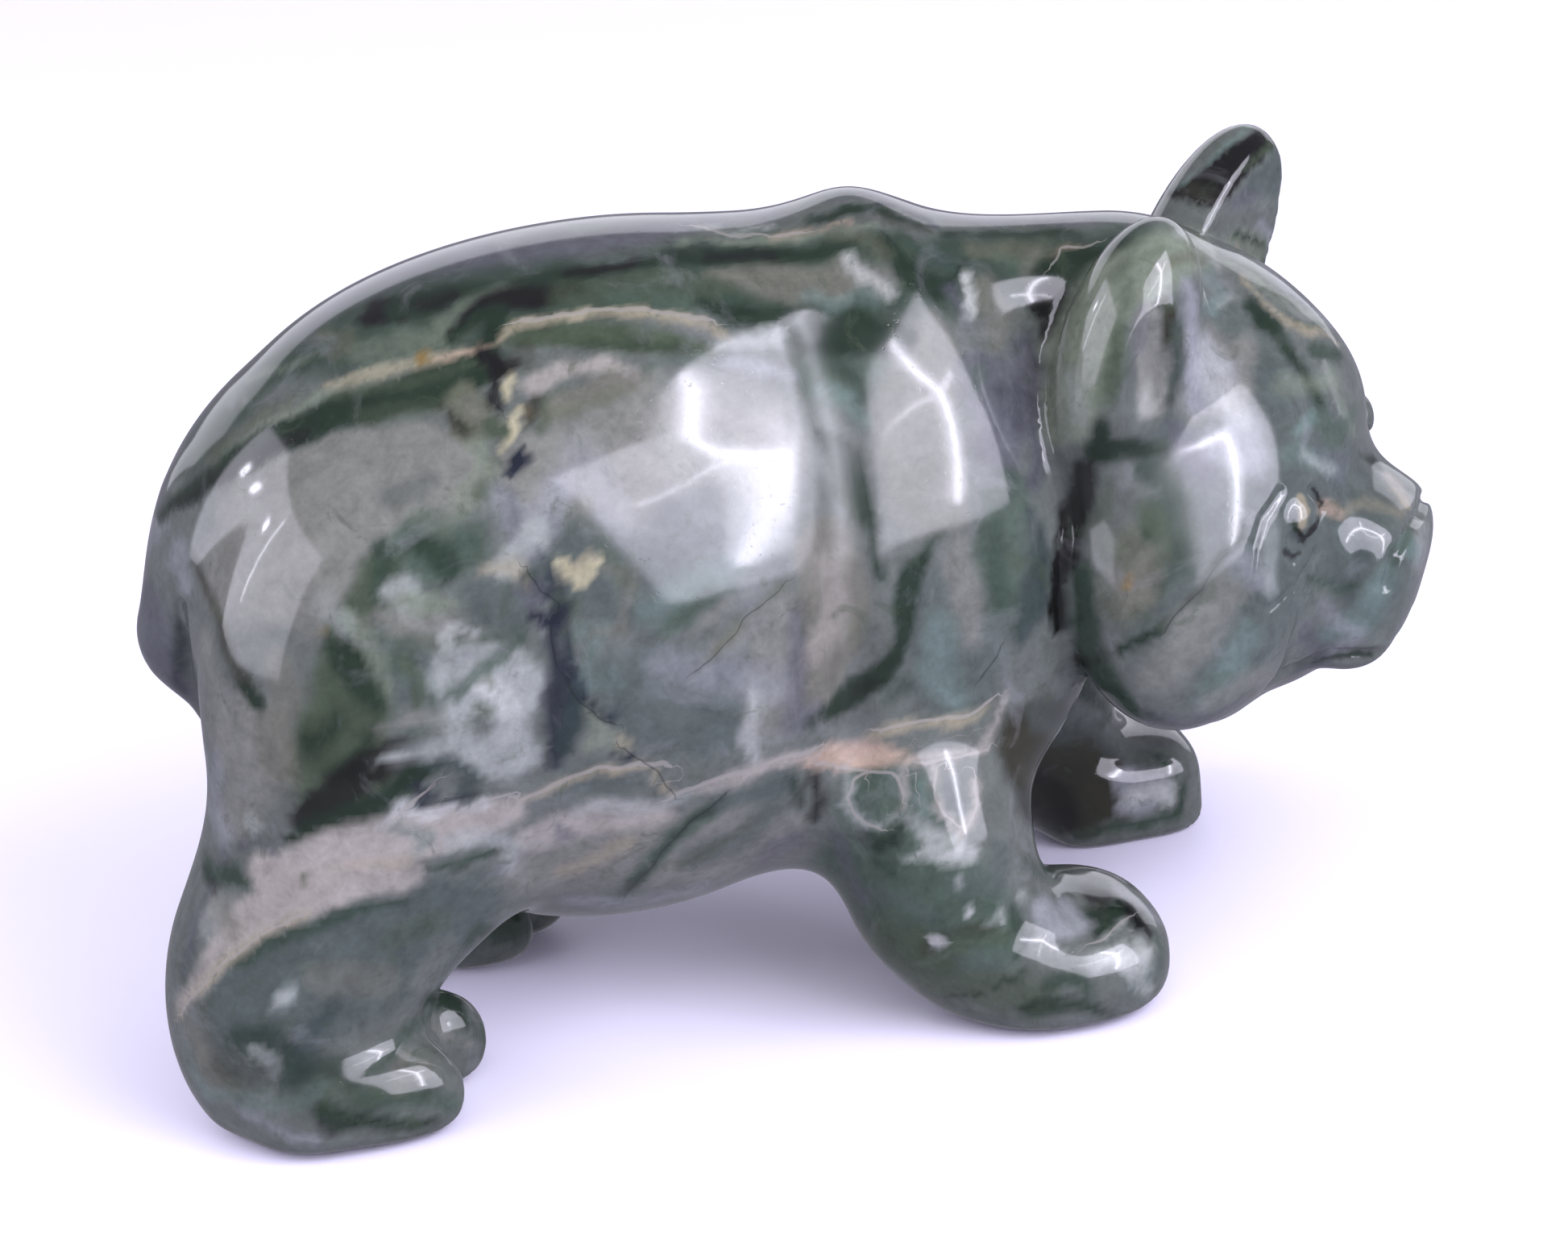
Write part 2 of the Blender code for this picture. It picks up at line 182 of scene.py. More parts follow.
BLANK_GRAIN = 0.00135
SPLIT_REACH = (0.018, 0.009)
SETTLING = {"blank": (9, 0.6), "skin": (4, 0.5), "split": (2, 0.0), "fine": (3, 0.4)}
SLOPE_STEP = 0.0008
LARGEST_MOVE = 0.02
# The last rounds of a settling move the points without easing them.
PLAIN_ROUNDS = 2
BALL_FINENESS = 4
# A face is by a line where the line's fall-off is above this.
NEAR_SHARE = 0.37

# Millimetres in a metre, what keeps a division safe, and a distance beyond everything.
MM = 1000.0
TINY = 1e-9
BEYOND = 1e9

# The markings run through the block this way: turned about the vertical, then dipping, in degrees.
MARKING_TURN = -12.0
MARKING_DIP = 22.0
# They sway more from this far towards the far side on, over this depth, in metres; amounts in mm.
FAR_SIDE = (-0.008, 0.022)
SWAY = (0.2, 5.0)
SLIGHT_SWAY = 0.45
# Wandering numbers: each seed's shift, how they fall off and close up, and then scale and octaves.
WANDER_SHIFT = (3.1, 1.7, 2.3)
WANDER_FALL = (0.9, 2.1)
SWAY_WANDER = (55.0, 2)
EDGE_WANDER = (330.0, 3)
SLIGHT_WANDER = (300.0, 4)
# Half widths away where there is no seam at all. A seam is at full strength near its path and fades, in mm.
NO_SEAM = 9.0
SEAM_FADE = (1.6, 1.1)
# How far the polish falls off beside the two long folds, in design units.
FOLD_REACH = 0.026

# Noise in the stone: cycles per metre, detail, roughness and warp.
CLOUD_NOISE = (420.0, 4.0, 0.62, 0.4)
FINE_NOISE = (1500.0, 3.0, 0.6, 0.0)
MIST_NOISE = (150.0, 5.0, 0.6, 0.8)
FLECK_NOISE = (240.0, 6.0, 0.68, 1.2)
PIT_NOISE = (2600.0, 2.0, 0.5, 0.0)
# The shade that multiplies the colour: a base, and the shares of the cloud and the fine noise.
SHADE = (0.52, 0.96, 0.42)
# Where mist, flecks and pits begin and are full in their noise, and their shares.
MIST_EDGE = (0.54, 0.74)
MIST_SHARE = 0.30
FLECK_EDGE = (0.56, 0.70)
FLECK_SHARE = 0.45
PIT_EDGE = (0.66, 0.74)
# How the thin seams waver with the cloud and the fine noise, and their edges in half widths and shares.
SEAM_WAVER = (1.1, 0.5)
PALE_EDGE = (0.45, 1.35)
PALE_SHARE = 0.6
DARK_EDGE = (0.4, 1.3)
DARK_SHARE = 0.45
# The skin's unevenness: shares of the cloud and the fine noise, and its height in metres.
UNEVEN_SHARES = (0.3, 0.2)
UNEVEN_HEIGHT = 0.00012
# How much rougher the mist and the dark seams are.
MIST_ROUGHNESS = 0.05
DARK_ROUGHNESS = 0.10

# Brushed markings, with some painted shade and painted highlights: colour, strength, softness, raggedness,
# and a path of places with half widths, in mm.
MARKINGS_AND_PAINTED_LIGHT = (
    # Broad grounds.
    ("deep green", 0.9, 2.58, 0.39, ((-46.0, 46.1, 2.58), (-38.9, 53.2, 3.22), (-28.5, 54.4, 3.87),
        (-18.2, 55.4, 3.87), (-8.1, 55.9, 2.90), (2.0, 55.2, 3.87), (12.9, 54.4, 3.87),
        (21.6, 55.4, 3.22), (30.3, 56.0, 1.93))),
    ("ash", 1, 1.37, 0.31, ((-38.7, 40.0, 3.74), (-32.1, 42.5, 3.11), (-26.4, 42.6, 2.99),
        (-24.0, 41.1, 2.49))),
    ("ash", 1, 1.62, 0.31, ((-40.9, 35.2, 3.73), (-35.7, 34.7, 3.73), (-29.7, 39.1, 2.49))),
    ("green", 0.95, 1.85, 0.43, ((-30.0, 35.4, 1.23), (-26.9, 35.8, 2.77), (-23.8, 35.5, 1.85))),
    ("moss", 0.9, 2.09, 0.49, ((-30.1, 34.2, 1.85), (-31.8, 29.4, 3.08), (-33.5, 24.6, 3.39),
        (-34.7, 19.7, 4.31))),
    ("ash", 1, 2.48, 0.37, ((-16.6, 41.1, 3.71), (-9.2, 41.1, 5.57), (-2.9, 41.9, 5.57), (0.8, 41.6, 2.48))),
    ("slate", 0.8, 2.47, 0.37, ((-15.9, 34.2, 3.71), (-9.9, 32.4, 3.71), (-4.7, 35.7, 3.71),
        (0.1, 32.9, 3.09))),
    ("slate", 0.8, 2.50, 0.44, ((-10.7, 23.8, 3.74), (-5.9, 22.0, 3.74), (-2.5, 25.5, 3.12))),
    ("ash", 0.7, 2.50, 0.44, ((-4.1, 28.2, 2.50), (-0.3, 29.1, 2.50), (-0.9, 21.6, 2.50))),
    ("stone grey", 0.95, 1.39, 0.32, ((4.0, 33.8, 1.89), (4.6, 30.0, 2.65), (3.9, 26.2, 2.52),
        (2.3, 22.5, 1.64))),
    ("green", 0.9, 1.91, 0.32, ((5.8, 47.1, 2.54), (8.9, 46.8, 1.91))),
    ("stone grey", 0.6, 1.92, 0.38, ((13.6, 48.5, 2.56), (11.8, 43.4, 3.20), (12.5, 36.9, 3.20))),
    ("violet grey", 0.8, 1.92, 0.38, ((17.9, 45.6, 2.57), (19.6, 42.9, 2.57), (18.7, 40.3, 1.92))),
    ("slate", 0.75, 2.56, 0.51, ((13.8, 27.9, 3.84), (13.4, 22.8, 3.84), (17.0, 27.6, 1.92))),
    ("green", 0.8, 1.92, 0.51, ((19.0, 36.5, 1.92), (18.0, 31.4, 2.18), (18.3, 27.5, 1.92))),
    ("ash", 0.8, 1.92, 0.38, ((14.8, 32.9, 1.02), (15.2, 29.1, 1.28), (15.3, 25.8, 1.02))),
    ("slate", 1, 2.53, 0.38, ((-42.7, 1.7, 5.07), (-36.1, 4.3, 5.07), (-29.0, 6.7, 4.43))),
    ("ash", 0.9, 2.12, 0.37, ((-42.6, 24.0, 2.49), (-41.8, 20.2, 2.49), (-43.0, 16.4, 1.87))),
    ("stone grey", 0.8, 1.61, 0.37, ((-39.3, 23.8, 1.49), (-39.2, 20.0, 1.36))),
    ("green", 0.95, 2.61, 0.39, ((4.3, 7.1, 3.92), (8.5, 2.9, 3.92), (14.3, 1.0, 3.27), (7.4, 12.9, 3.92))),
    ("moss", 0.7, 2.63, 0.39, ((6.5, 0.9, 2.63), (11.4, -2.9, 1.97), (17.9, -4.0, 1.58))),
    ("ash", 0.9, 1.92, 0.38, ((-21.2, 10.4, 2.56), (-14.7, 11.1, 3.20), (-8.4, 10.4, 3.20),
        (-1.9, 11.0, 2.56))),
    # Upper back.
    ("violet grey", 0.8, 1.69, 0.32, ((-50.4, 37.5, 0.78), (-47.0, 46.2, 0.52), (-40.8, 52.3, 0.39),
        (-32.7, 56.8, 0.65), (-23.3, 58.4, 1.04), (-14.3, 60.0, 1.43), (-4.0, 60.7, 1.04),
        (2.5, 60.9, 0.52))),
    ("lilac", 0.7, 1.68, 0.26, ((-49.8, 38.0, 0.90), (-48.3, 39.8, 0.78))),
    ("deep green", 0.85, 1.41, 0.32, ((-45.6, 46.0, 0.90), (-40.8, 50.0, 1.41), (-37.3, 51.9, 1.41),
        (-32.5, 53.6, 1.16))),
    ("olive", 0.6, 0.64, 0.25, ((-43.9, 44.8, 0.25), (-40.0, 47.2, 0.38), (-36.5, 48.7, 0.32))),
    ("sage", 0.45, 0.64, 0.26, ((-40.9, 50.7, 0.19), (-37.2, 51.5, 0.32), (-33.8, 52.4, 0.26))),
    ("olive", 0.6, 1.40, 0.32, ((-34.5, 53.9, 0.64), (-31.8, 53.5, 0.76), (-33.1, 52.3, 0.64))),
    ("sage", 0.45, 1.26, 0.32, ((-31.1, 52.1, 0.76), (-27.2, 52.3, 1.26), (-24.0, 52.6, 0.88),
        (-21.4, 54.0, 0.63))),
    ("sage", 0.55, 1.39, 0.31, ((-24.6, 54.0, 0.50), (-20.8, 55.3, 0.63), (-17.6, 56.4, 0.38))),
    ("black green", 1, 0.76, 0.25, ((-30.8, 54.9, 0.51), (-29.8, 54.9, 1.08), (-28.5, 55.1, 1.08),
        (-27.2, 54.8, 0.63))),
    ("dark green", 1, 0.89, 0.25, ((-27.9, 55.2, 0.89), (-25.3, 55.4, 0.95), (-23.3, 56.0, 0.70),
        (-20.7, 56.5, 0.38))),
    ("black green", 0.8, 0.76, 0.25, ((-25.9, 55.2, 0.38), (-24.3, 55.5, 0.51), (-23.3, 55.8, 0.38))),
    ("black green", 1, 0.88, 0.25, ((-23.3, 52.9, 0.50), (-22.4, 53.8, 0.88), (-20.8, 54.6, 1.13),
        (-18.2, 55.3, 1.26), (-15.7, 55.3, 1.00), (-13.2, 55.6, 0.63))),
    ("dark green", 1, 0.75, 0.25, ((-23.4, 52.4, 0.38), (-21.4, 54.0, 0.63), (-19.5, 54.2, 0.63),
        (-20.9, 51.0, 0.88), (-21.6, 49.8, 0.63))),
    ("dark green", 0.9, 0.89, 0.25, ((-18.2, 56.6, 0.51), (-14.4, 56.7, 0.76), (-11.8, 57.2, 0.63))),
    ("black green", 0.95, 0.76, 0.25, ((-14.1, 56.9, 0.32), (-12.4, 57.5, 0.57), (-10.5, 57.7, 0.63),
        (-8.0, 57.6, 0.44), (-6.1, 57.7, 0.32))),
    ("dark green", 1, 0.76, 0.25, ((-8.0, 57.6, 0.45), (-4.8, 57.7, 0.76), (-1.6, 57.5, 0.89),
        (2.2, 57.3, 0.76), (5.4, 57.2, 0.57), (8.7, 57.6, 0.38))),
    ("black green", 0.7, 0.64, 0.26, ((-2.9, 57.6, 0.38), (0.3, 57.3, 0.51), (2.2, 57.3, 0.38))),
    ("moss", 0.6, 1.26, 0.38, ((-15.1, 55.0, 0.88), (-10.6, 55.4, 1.51), (-6.3, 55.1, 1.64),
        (-3.1, 54.5, 1.51))),
    ("green", 0.7, 1.26, 0.38, ((-10.7, 54.4, 0.76), (-5.7, 53.7, 1.01), (-2.0, 52.8, 0.63))),
    ("dark green", 1, 1.01, 0.25, ((-3.8, 53.6, 0.63), (-0.8, 52.4, 0.89), (3.0, 51.5, 1.39),
        (6.7, 50.6, 1.90), (9.9, 49.7, 1.52), (12.1, 49.5, 0.89))),
    ("deep green", 0.8, 0.89, 0.25, ((-1.8, 55.8, 0.38), (0.0, 54.0, 0.51), (-1.9, 53.8, 0.51))),
    ("stone grey", 0.9, 1.40, 0.38, ((-3.0, 55.9, 0.51), (-0.5, 55.4, 0.89), (3.3, 54.8, 1.53),
        (7.1, 54.5, 1.65))),
    ("ash", 0.75, 1.16, 0.51, ((7.9, 56.1, 0.77), (9.7, 54.6, 1.16), (10.9, 53.6, 0.90))),
    ("white", 0.6, 0.77, 0.51, ((7.9, 56.5, 0.39), (9.1, 55.0, 0.58), (10.3, 53.9, 0.51),
        (11.1, 52.9, 0.39))),
    ("teal", 0.5, 0.89, 0.32, ((4.4, 53.7, 0.51), (6.3, 52.6, 0.51), (8.9, 53.4, 0.51), (10.1, 52.6, 0.51))),
    ("sage", 0.7, 0.51, 0.26, ((-4.8, 58.6, 0.19), (-2.2, 59.0, 0.26), (1.0, 58.4, 0.19),
        (3.6, 58.6, 0.26), (7.5, 58.9, 0.26), (10.1, 59.0, 0.19))),
    ("pale", 0.6, 0.52, 0.26, ((-2.8, 60.2, 0.19), (-0.5, 59.5, 0.26), (1.8, 59.8, 0.19))),
    ("peach", 0.5, 0.52, 0.19, ((2.0, 58.7, 0.19), (4.9, 59.2, 0.19), (8.2, 59.5, 0.26))),
    ("dark green", 1, 0.65, 0.26, ((4.7, 59.9, 0.26), (7.7, 60.5, 0.58), (10.3, 60.7, 0.58),
        (12.2, 60.1, 0.52), (14.1, 59.6, 0.39))),
    ("umber", 0.6, 0.78, 0.26, ((8.9, 59.8, 0.39), (12.1, 59.4, 0.52), (14.7, 59.1, 0.39))),
    ("violet grey", 0.7, 1.44, 0.26, ((7.2, 62.3, 0.52), (11.8, 62.7, 0.65), (18.3, 60.8, 0.65),
        (25.0, 59.5, 0.52), (31.4, 58.4, 0.39))),
    ("navy", 0.9, 0.39, 0.26, ((10.7, 61.5, 0.20), (12.4, 61.4, 0.33), (14.0, 60.8, 0.33),
        (14.9, 60.2, 0.46), (15.4, 59.7, 0.26))),
    ("dark green", 1, 0.90, 0.32, ((10.6, 57.6, 0.52), (11.8, 56.2, 0.90), (12.9, 54.4, 1.16),
        (14.8, 53.3, 1.03), (16.5, 54.3, 0.58), (17.3, 55.6, 0.32))),
    ("deep green", 0.8, 1.29, 0.39, ((12.6, 57.8, 0.90), (15.1, 56.4, 1.16), (16.6, 57.7, 0.90))),
    ("navy green", 0.5, 1.16, 0.39, ((14.5, 57.1, 0.78), (15.7, 55.7, 0.65))),
    ("dark green", 1, 0.89, 0.25, ((4.1, 50.2, 0.76), (7.3, 49.6, 1.15), (10.4, 49.0, 1.02),
        (11.7, 48.6, 0.51))),
    ("olive", 0.5, 1.03, 0.39, ((6.2, 58.3, 0.39), (9.4, 58.0, 0.58), (10.5, 56.6, 0.39))),
    ("dark green", 0.9, 0.91, 0.26, ((16.1, 58.8, 0.33), (20.1, 58.8, 0.39), (24.7, 58.2, 0.39),
        (27.3, 57.9, 0.26))),
    ("olive", 0.75, 1.30, 0.39, ((18.5, 56.9, 0.91), (21.8, 56.7, 1.17), (24.4, 56.6, 0.65))),
    ("green", 0.6, 1.17, 0.33, ((20.4, 56.1, 0.65), (22.2, 55.0, 0.91))),
    ("stone grey", 0.6, 0.92, 0.33, ((23.4, 56.6, 0.52), (22.5, 54.6, 0.52))),
    ("peach", 0.55, 0.52, 0.20, ((24.3, 55.7, 0.33), (25.7, 56.7, 0.26), (27.5, 57.0, 0.20))),
    ("dark green", 1, 0.91, 0.26, ((23.0, 52.9, 0.91), (24.9, 54.8, 1.56), (27.6, 55.6, 1.43),
        (29.7, 55.7, 0.65))),
    ("deep green", 0.6, 0.91, 0.33, ((26.2, 55.0, 0.91), (27.7, 54.4, 0.91))),
    ("black green", 1, 0.91, 0.20, ((22.9, 51.6, 0.91), (24.3, 52.2, 1.30), (24.1, 50.5, 1.17),
        (23.5, 49.3, 0.78))),
    ("white", 0.8, 0.78, 0.39, ((17.2, 54.2, 0.52), (17.7, 52.5, 0.78), (17.1, 50.9, 0.39))),
    ("stone grey", 0.7, 1.30, 0.39, ((18.8, 53.5, 1.04), (19.9, 51.4, 1.17), (18.9, 48.8, 0.65))),
    ("violet grey", 0.7, 0.77, 0.26, ((15.7, 53.3, 0.52), (16.9, 51.6, 0.39), (17.1, 50.2, 0.32))),
    ("ash", 0.5, 1.41, 0.32, ((13.9, 51.1, 0.77), (15.0, 49.7, 0.90))),
    ("violet grey", 0.9, 1.56, 0.32, ((21.3, 48.7, 0.91), (21.6, 45.4, 1.04), (20.4, 42.8, 1.17))),
    ("navy", 0.5, 1.42, 0.32, ((19.7, 44.8, 0.77), (20.0, 42.9, 0.90))),
    ("green", 0.6, 1.03, 0.38, ((17.3, 46.3, 0.90), (16.9, 45.0, 0.51))),
    ("violet grey", 0.8, 1.43, 0.26, ((22.6, 45.4, 0.52), (22.2, 41.5, 0.58), (21.5, 37.6, 0.65))),
    # The long band and the rump.
    ("sage", 0.8, 0.77, 0.26, ((-47.0, 40.9, 0.32), (-44.3, 43.2, 0.38), (-40.7, 45.6, 0.38),
        (-37.2, 47.5, 0.45), (-33.8, 49.1, 0.51), (-30.5, 50.0, 0.64), (-26.0, 50.5, 0.77),
        (-22.8, 50.7, 0.58))),
    ("sand", 0.7, 0.63, 0.25, ((-33.8, 49.6, 0.31), (-29.9, 50.1, 0.50), (-25.4, 50.4, 0.57),
        (-21.9, 50.6, 0.44))),
    ("ochre", 0.9, 0.63, 0.19, ((-25.7, 50.9, 0.50), (-25.5, 50.7, 0.38))),
    ("peach", 0.6, 0.50, 0.19, ((-24.4, 50.7, 0.31), (-21.6, 51.1, 0.31), (-20.9, 51.7, 0.25))),
    ("dark green", 1, 0.77, 0.19, ((-47.9, 40.4, 0.51), (-45.0, 42.3, 1.03), (-41.4, 44.1, 1.28),
        (-37.2, 45.9, 1.28), (-32.6, 47.3, 1.41), (-28.7, 47.9, 1.54), (-24.8, 48.5, 1.54),
        (-22.3, 49.2, 1.41), (-20.1, 50.0, 1.15))),
    ("moss", 0.55, 0.88, 0.25, ((-33.8, 48.4, 0.38), (-29.9, 49.0, 0.50), (-26.1, 49.2, 0.44),
        (-21.0, 50.0, 0.31))),
    ("black green", 0.75, 0.89, 0.19, ((-47.0, 40.6, 0.26), (-43.5, 42.8, 0.51), (-39.3, 44.5, 0.51),
        (-35.2, 46.0, 0.38))),
    ("moss", 0.5, 1.37, 0.31, ((-31.3, 46.9, 0.62), (-27.5, 46.8, 0.87), (-24.3, 47.1, 0.62))),
    ("black green", 1, 0.75, 0.25, ((-20.9, 51.0, 0.75), (-20.2, 50.0, 1.00), (-19.1, 49.6, 0.75),
        (-18.5, 49.8, 0.38))),
    ("black green", 0.9, 0.50, 0.19, ((-20.3, 49.0, 0.50), (-20.5, 47.4, 0.50), (-20.3, 46.3, 0.37))),
    ("olive", 0.9, 1.00, 0.25, ((-23.0, 47.3, 1.37), (-22.2, 46.0, 1.49), (-22.8, 44.8, 1.00))),
    ("stone grey", 0.7, 0.87, 0.25, ((-22.7, 47.0, 0.75), (-21.8, 46.0, 0.75))),
    ("umber", 0.8, 0.50, 0.19, ((-24.6, 47.2, 0.31), (-23.7, 45.8, 0.37), (-22.9, 44.5, 0.44),
        (-21.9, 44.2, 0.37))),
    ("moss", 0.9, 0.74, 0.25, ((-20.7, 44.9, 0.74), (-19.8, 44.2, 0.50))),
    ("ash", 0.8, 1.62, 0.31, ((-34.0, 43.3, 1.49), (-30.1, 44.2, 1.62), (-25.7, 43.8, 1.49))),
    ("slate", 0.45, 1.48, 0.31, ((-29.0, 40.3, 0.99), (-25.9, 41.3, 0.74))),
    ("sage", 0.55, 1.36, 0.43, ((-22.2, 40.9, 0.87), (-23.6, 38.6, 0.99), (-20.8, 42.1, 0.62))),
    ("moss", 0.7, 0.99, 0.43, ((-22.3, 39.7, 0.49), (-21.0, 40.2, 0.49))),
    ("umber", 0.8, 0.76, 0.19, ((-45.4, 37.5, 0.25), (-44.1, 34.2, 0.44), (-42.8, 30.3, 0.57),
        (-41.6, 27.1, 0.76), (-40.6, 25.5, 0.51))),
    ("olive", 0.6, 0.75, 0.19, ((-43.8, 32.9, 0.31), (-42.6, 30.9, 0.38), (-43.3, 32.2, 0.38))),
    ("dark green", 0.9, 0.75, 0.25, ((-41.6, 26.8, 0.50), (-40.7, 25.7, 0.56), (-40.3, 25.1, 0.31))),
    ("ash", 0.7, 1.39, 0.25, ((-45.0, 31.1, 0.63), (-44.2, 27.9, 0.88), (-43.2, 25.3, 0.88))),
    ("stone grey", 0.6, 1.36, 0.25, ((-38.5, 28.1, 1.24), (-37.9, 24.9, 1.24))),
    ("ash", 0.6, 1.60, 0.25, ((-36.0, 31.0, 1.23), (-34.5, 33.3, 0.99))),
    ("ochre", 0.5, 0.49, 0.18, ((-34.9, 30.3, 0.31), (-34.5, 30.5, 0.18))),
    # Haunch.
    ("deep green", 0.9, 0.99, 0.49, ((-29.9, 36.6, 0.62), (-29.6, 34.4, 0.74), (-30.5, 32.7, 0.74))),
    ("dark green", 0.8, 1.11, 0.43, ((-26.9, 36.1, 0.86), (-25.4, 35.3, 1.23), (-24.5, 34.3, 0.86),
        (-25.3, 33.1, 0.55))),
    ("green", 0.7, 1.23, 0.43, ((-24.3, 36.8, 0.86), (-22.4, 37.2, 0.62), (-23.2, 35.4, 0.74))),
    ("dark green", 0.9, 1.23, 0.37, ((-34.2, 29.6, 0.86), (-33.1, 28.3, 1.60), (-32.8, 25.1, 2.10),
        (-34.5, 21.5, 2.71))),
    ("moss", 0.8, 1.24, 0.37, ((-36.1, 23.5, 0.87), (-34.6, 25.9, 0.99), (-32.4, 23.2, 0.87),
        (-35.9, 20.4, 0.87))),
    ("black green", 0.9, 1.00, 0.37, ((-38.4, 16.1, 0.75), (-36.3, 17.2, 1.62), (-32.9, 19.5, 1.62),
        (-29.7, 20.5, 1.37), (-27.2, 20.2, 0.62))),
    ("dark green", 1, 0.88, 0.31, ((-39.6, 14.6, 0.44), (-36.6, 15.4, 0.88), (-33.3, 16.3, 1.00),
        (-30.6, 17.7, 0.75), (-28.0, 19.3, 0.63))),
    ("navy green", 0.7, 0.99, 0.37, ((-29.0, 21.0, 0.74), (-26.7, 19.9, 0.87), (-24.4, 18.4, 0.74),
        (-25.7, 17.5, 0.56))),
    ("navy", 0.8, 0.62, 0.37, ((-29.1, 17.9, 0.37), (-28.2, 17.1, 0.50), (-28.9, 16.6, 0.31))),
    ("navy", 0.8, 0.63, 0.31, ((-27.4, 16.1, 0.44), (-26.5, 16.3, 0.50), (-24.6, 17.1, 0.31))),
    ("pale", 0.9, 1.11, 0.55, ((-29.6, 32.9, 0.74), (-28.3, 33.4, 0.99), (-27.8, 31.8, 0.86))),
    ("ash", 0.8, 1.11, 0.55, ((-30.4, 31.1, 0.86), (-28.0, 29.7, 1.35), (-25.6, 29.5, 1.23))),
    ("pale", 0.85, 1.24, 0.56, ((-26.5, 26.4, 1.11), (-24.9, 24.4, 1.61), (-22.5, 24.2, 2.10),
        (-20.6, 24.6, 1.61))),
    ("white", 0.6, 1.11, 0.56, ((-23.6, 25.5, 0.62), (-21.9, 24.1, 1.24), (-20.9, 22.2, 1.24),
        (-22.2, 21.0, 0.99))),
    ("pale", 0.7, 1.24, 0.50, ((-25.7, 22.6, 0.87), (-23.5, 20.5, 1.49), (-21.1, 20.3, 1.37))),
    ("slate", 0.8, 1.23, 0.49, ((-29.4, 28.5, 0.86), (-27.1, 27.1, 0.62), (-29.2, 24.8, 0.86),
        (-30.2, 26.8, 0.74))),
    ("moss", 0.55, 0.99, 0.49, ((-28.7, 29.1, 0.55), (-26.3, 28.3, 0.55), (-22.7, 28.3, 0.74),
        (-20.2, 28.4, 0.55))),
    ("green", 0.6, 0.99, 0.49, ((-30.5, 29.9, 0.62), (-30.1, 28.0, 0.86), (-27.9, 25.3, 0.74),
        (-26.8, 24.0, 0.49))),
    ("ash", 0.6, 1.11, 0.50, ((-31.3, 22.5, 0.56), (-28.8, 22.9, 0.87), (-26.9, 22.7, 0.74))),
    ("sage", 0.8, 0.99, 0.62, ((-28.4, 32.5, 0.49), (-26.6, 31.7, 0.74), (-24.8, 31.2, 0.62))),
    ("pale", 0.8, 0.99, 0.62, ((-25.2, 27.9, 0.86), (-22.8, 26.7, 1.11), (-19.8, 26.5, 0.99),
        (-19.1, 23.9, 0.86))),
    ("white", 0.5, 0.74, 0.49, ((-26.0, 28.9, 0.37), (-25.0, 29.4, 0.49), (-23.2, 28.9, 0.37))),
    ("pale", 0.8, 0.99, 0.56, ((-31.6, 20.0, 0.37), (-28.4, 20.7, 0.62), (-25.9, 21.1, 0.74),
        (-22.5, 18.5, 0.87), (-19.9, 19.5, 0.87))),
    ("sage", 0.7, 1.11, 0.55, ((-32.8, 31.3, 0.62), (-31.5, 29.3, 0.74), (-30.3, 25.5, 0.55))),
    ("moss", 0.8, 0.62, 0.50, ((-23.8, 23.7, 0.37), (-23.2, 23.0, 0.56), (-24.2, 22.5, 0.37))),
    ("green", 0.8, 0.62, 0.49, ((-20.4, 29.3, 0.49), (-19.6, 28.3, 0.49), (-25.5, 24.5, 0.37))),
    ("moss", 0.7, 0.62, 0.49, ((-28.9, 27.3, 0.49), (-27.8, 25.9, 0.49), (-28.3, 24.1, 0.56))),
    ("green", 0.7, 0.74, 0.50, ((-30.7, 22.4, 0.50), (-29.5, 22.0, 0.50), (-27.3, 22.4, 0.37))),
    ("olive", 0.6, 0.62, 0.25, ((-22.6, 25.5, 0.43), (-22.4, 25.0, 0.31))),
    ("slate", 0.8, 1.60, 0.43, ((-23.5, 32.4, 0.99), (-21.1, 31.5, 1.48), (-20.1, 29.6, 1.11),
        (-22.4, 30.4, 0.99))),
    ("lilac", 0.6, 1.61, 0.37, ((-20.4, 39.5, 0.99), (-19.4, 37.0, 1.36), (-18.3, 35.6, 1.24),
        (-16.1, 39.2, 1.48))),
    ("violet grey", 0.55, 1.11, 0.37, ((-19.7, 39.5, 0.49), (-19.7, 37.0, 0.62), (-19.5, 35.1, 0.49))),
    ("pale", 0.8, 0.99, 0.37, ((-19.6, 34.5, 0.74), (-20.9, 33.9, 0.74), (-17.9, 36.8, 0.86),
        (-17.7, 35.6, 0.86))),
    ("sand", 0.7, 0.62, 0.37, ((-13.9, 34.3, 0.37), (-14.6, 33.8, 0.49), (-15.5, 33.2, 0.31),
        (-16.1, 32.5, 0.25))),
    ("sand", 0.6, 0.74, 0.37, ((-22.1, 33.8, 0.37), (-19.6, 34.2, 0.49), (-18.9, 32.3, 0.43))),
    ("navy", 0.85, 0.49, 0.31, ((-18.8, 33.2, 0.37), (-18.3, 32.2, 0.56), (-17.9, 31.3, 0.43))),
    ("violet grey", 0.7, 0.86, 0.37, ((-19.8, 32.0, 0.43), (-18.6, 31.9, 0.74), (-19.3, 30.8, 0.56))),
    ("navy", 1, 0.49, 0.31, ((-19.1, 30.0, 0.31), (-18.2, 29.4, 0.62), (-17.3, 29.0, 0.56),
        (-16.9, 30.2, 0.49), (-16.5, 30.8, 0.31))),
    ("navy", 0.9, 0.74, 0.37, ((-17.7, 28.1, 0.62), (-17.3, 26.5, 0.87), (-16.8, 24.9, 1.11),
        (-17.3, 23.1, 1.24), (-17.9, 21.2, 1.24), (-18.2, 19.0, 0.62))),
    ("navy", 0.9, 0.62, 0.31, ((-16.0, 23.6, 0.75), (-14.9, 22.6, 0.56), (-13.7, 21.8, 0.37),
        (-13.1, 22.4, 0.31))),
